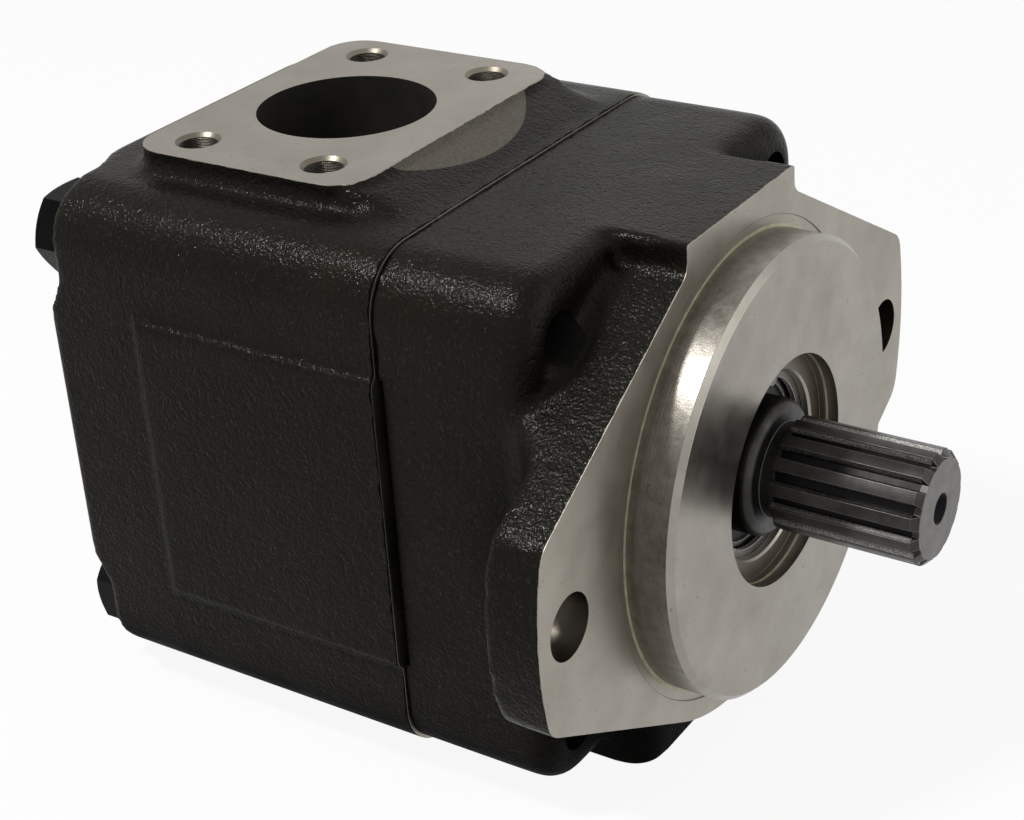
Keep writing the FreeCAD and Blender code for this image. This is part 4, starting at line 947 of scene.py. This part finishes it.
def pad_cap(stock):
    """Metal on top of the suction pad, with the pad's own outline."""
    back = SUCTION_ENDS[0] + SUCTION_CORNER
    front = SUCTION_ENDS[1] - SUCTION_CORNER
    side = SUCTION_HALF_WIDTH - SUCTION_CORNER
    points = []
    for x, y in ((back, -side), (front, -side), (front, side), (back, side)):
        for along, across in circle(SUCTION_CORNER, 32):
            points.append((x + along, y + across, SUCTION_FACE - 0.003))
            points.append((x + along, y + across, SUCTION_FACE + ALLOWANCE))
    add_hull(stock, points)


def rear_stock():
    """The raw rear casting, with its holes filled and metal left on for the machining."""
    stock = start_stock("rear_housing")
    push(stock, lambda p: p.x > JOINT_X - 0.0001, (ALLOWANCE, 0, 0))
    front = JOINT_X + ALLOWANCE
    add_round(stock, (front, 0, 0), BACKWARD, RING_SEAT_RADIUS + 0.0010, 0.0830, 160)
    add_round(stock, (-0.1400, 0, 0), BACKWARD, 0.0340, 0.0190, 96)
    for y, z in corner_places(SCREW_PLACE):
        add_round(stock, (front, y, z), BACKWARD, 0.0092, 0.1719 + front)
    top = SUCTION_FACE + ALLOWANCE
    add_round(stock, (*SUCTION_CENTRE, top), DOWN, 0.0262, 0.0450, 96)
    for x, y in around_port(SUCTION_CENTRE, *SUCTION_TAPS):
        add_round(stock, (x, y, top), DOWN, 0.0074, 0.0250)
    pad_cap(stock)
    return stock


# The seat of the cartridge and the one of the bush, from the joint back
REAR_PROFILE = [
    (-0.0600, 0.0, "bored_shade"),
    (-0.0600, RING_SEAT_RADIUS, "bored_shade"),
    (RING_SEAT_BACK, RING_SEAT_RADIUS, "bored_shade"),
    (RING_SEAT_BACK, BUSH_SEAT_RADIUS, "bored_shade"),
    (BUSH_SEAT_BACK, BUSH_SEAT_RADIUS, "bored_shade"),
    (BUSH_SEAT_BACK, 0.0, "bored_shade"),
]

# From behind: the seat of a screw's head, then the screw's passage
SCREW_HOLE = [
    (0, SCREW_SEAT_RADIUS, "paint"),
    (0.0100, SCREW_SEAT_RADIUS, "paint"),
    (0.0100, SCREW_PASSAGE_RADIUS, "bored_shade"),
    (0.12, SCREW_PASSAGE_RADIUS, "bored_shade"),
]


def rear_casting():
    lathe = finish_object("lathe", turned_cutter(REAR_PROFILE))
    faces = bmesh.new()
    box_cutter(faces, (JOINT_X, -OUTSIDE, -OUTSIDE), (JOINT_X + 0.01, OUTSIDE, OUTSIDE), "milled")
    box_cutter(faces, (-0.18, -0.08, SUCTION_FACE), (-0.072, 0.08, 0.10), "port")
    faces = finish_object("face_mills", faces)
    drills = bmesh.new()
    for y, z in corner_places(SCREW_PLACE):
        drilled_cutter(drills, (REAR_END, y, z), FORWARD, SCREW_HOLE)
    top = SUCTION_FACE + ALLOWANCE
    plain_hole(drills, (*SUCTION_CENTRE, top), DOWN, SUCTION_BORE, 0.0386, "core_shade", 128)
    for x, y in around_port(SUCTION_CENTRE, *SUCTION_TAPS):
        tapped_hole(drills, (x, y, top), DOWN, (0.0031, 0.0084), "worn", SUCTION_TAP_RADIUS, 0.0240)
    drills = finish_object("drills", drills)
    soft_places = [(all_but_pads, 5), (port_foot, 16), (ramp_tip, 60)]
    return machine(rear_stock(), [lathe, faces, drills], "rear_casting", soft_places)


def add_castings():
    for make, node in ((front_casting, "front_housing"), (rear_casting, "rear_housing")):
        casting = make()
        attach(casting, "housing")
        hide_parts(node)


# Camera, floor and light

CAMERA_PLACE = (0.2257, -0.4384, 0.2793)
CAMERA_FORWARD = (-0.4993, 0.7287, -0.4688)
CAMERA_RIGHT = (0.8401, 0.5395, -0.0561)
WHITE = colour(1.0, 1.0, 1.0)
LAMP_TARGET = (-0.08, 0.0, 0.0)


def add_camera():
    """The camera that was fitted to the photograph."""
    forward = Vector(CAMERA_FORWARD).normalized()
    right = Vector(CAMERA_RIGHT).normalized()
    up = right.cross(forward).normalized()
    data = bpy.data.cameras.new("camera")
    data.sensor_width = 36.0
    data.lens = 73.51
    data.clip_start = 0.01
    data.clip_end = 50.0
    camera = new_object("camera", data)
    turn = Matrix((right, up, -forward)).transposed().to_4x4()
    camera.matrix_world = Matrix.Translation(CAMERA_PLACE) @ turn
    bpy.context.scene.camera = camera


def add_lamp(name, where, size, energy):
    data = bpy.data.lights.new(name, "AREA")
    data.shape = "RECTANGLE"
    data.size = size[0]
    data.size_y = size[1]
    data.energy = energy
    lamp = new_object(name, data)
    lamp.location = where
    aim = Vector(LAMP_TARGET) - Vector(where)
    lamp.rotation_euler = aim.to_track_quat("-Z", "Y").to_euler()


def seen_directly(tree):
    """1 for rays from the camera and for reflected or passed ones, 0 for the soft light."""
    path = add(tree, "ShaderNodeLightPath")
    first = sums(tree, "MAXIMUM", path.outputs["Is Camera Ray"], path.outputs["Is Glossy Ray"])
    return sums(tree, "MAXIMUM", first, path.outputs["Is Transmission Ray"])


def add_world():
    """A white surround that gives less soft light than it shows."""
    world = bpy.data.worlds.new("studio")
    bpy.context.scene.world = world
    world.use_nodes = True
    tree = world.node_tree
    tree.nodes.clear()
    strength = ramp(tree, seen_directly(tree), 0.0, 1.0, 0.26, 1.0, False)
    back = add(tree, "ShaderNodeBackground", {"Color": WHITE, "Strength": strength})
    output = add(tree, "ShaderNodeOutputWorld")
    tree.links.new(back.outputs[0], output.inputs["Surface"])


def add_floor():
    """Pale paper under the pump, bright enough to run into the white behind it."""
    level = CAD_BOX[0][2]
    half = 6.0
    corners = [(-half, -half, level), (half, -half, level), (half, half, level), (-half, half, level)]
    mesh = bpy.data.meshes.new("floor")
    mesh.from_pydata(corners, [], [(0, 1, 2, 3)])
    floor = new_object("floor", mesh)
    material, tree, surface = start_material("floor_paper")
    here = place(tree)
    tone = blend(tree, noise(tree, here, 3.0), colour(0.80, 0.80, 0.80), colour(0.82, 0.82, 0.82))
    paper = add(tree, "ShaderNodeBsdfDiffuse", {"Color": tone})
    glow = add(tree, "ShaderNodeEmission", {"Color": WHITE, "Strength": 1.0})
    share = ramp(tree, seen_directly(tree), 0.0, 1.0, 0.0, 0.92, False)
    both = add(tree, "ShaderNodeMixShader", {0: share, 1: paper.outputs[0], 2: glow.outputs[0]})
    tree.links.new(both.outputs[0], surface)
    mesh.materials.append(material)


def add_light():
    """A small key lamp for the sparkle of the paint, and two large soft ones."""
    add_lamp("key", (-0.55, -0.55, 1.10), (0.15, 0.15), 14.0)
    add_lamp("front", (0.85, 0.25, 0.30), (0.8, 0.8), 2.5)
    add_lamp("back", (-0.3, 1.1, 0.8), (1.0, 0.6), 1.0)


def set_view():
    bpy.context.scene.view_settings.view_transform = "Standard"


dress_everything()
add_castings()
add_camera()
add_world()
add_floor()
add_light()
set_view()
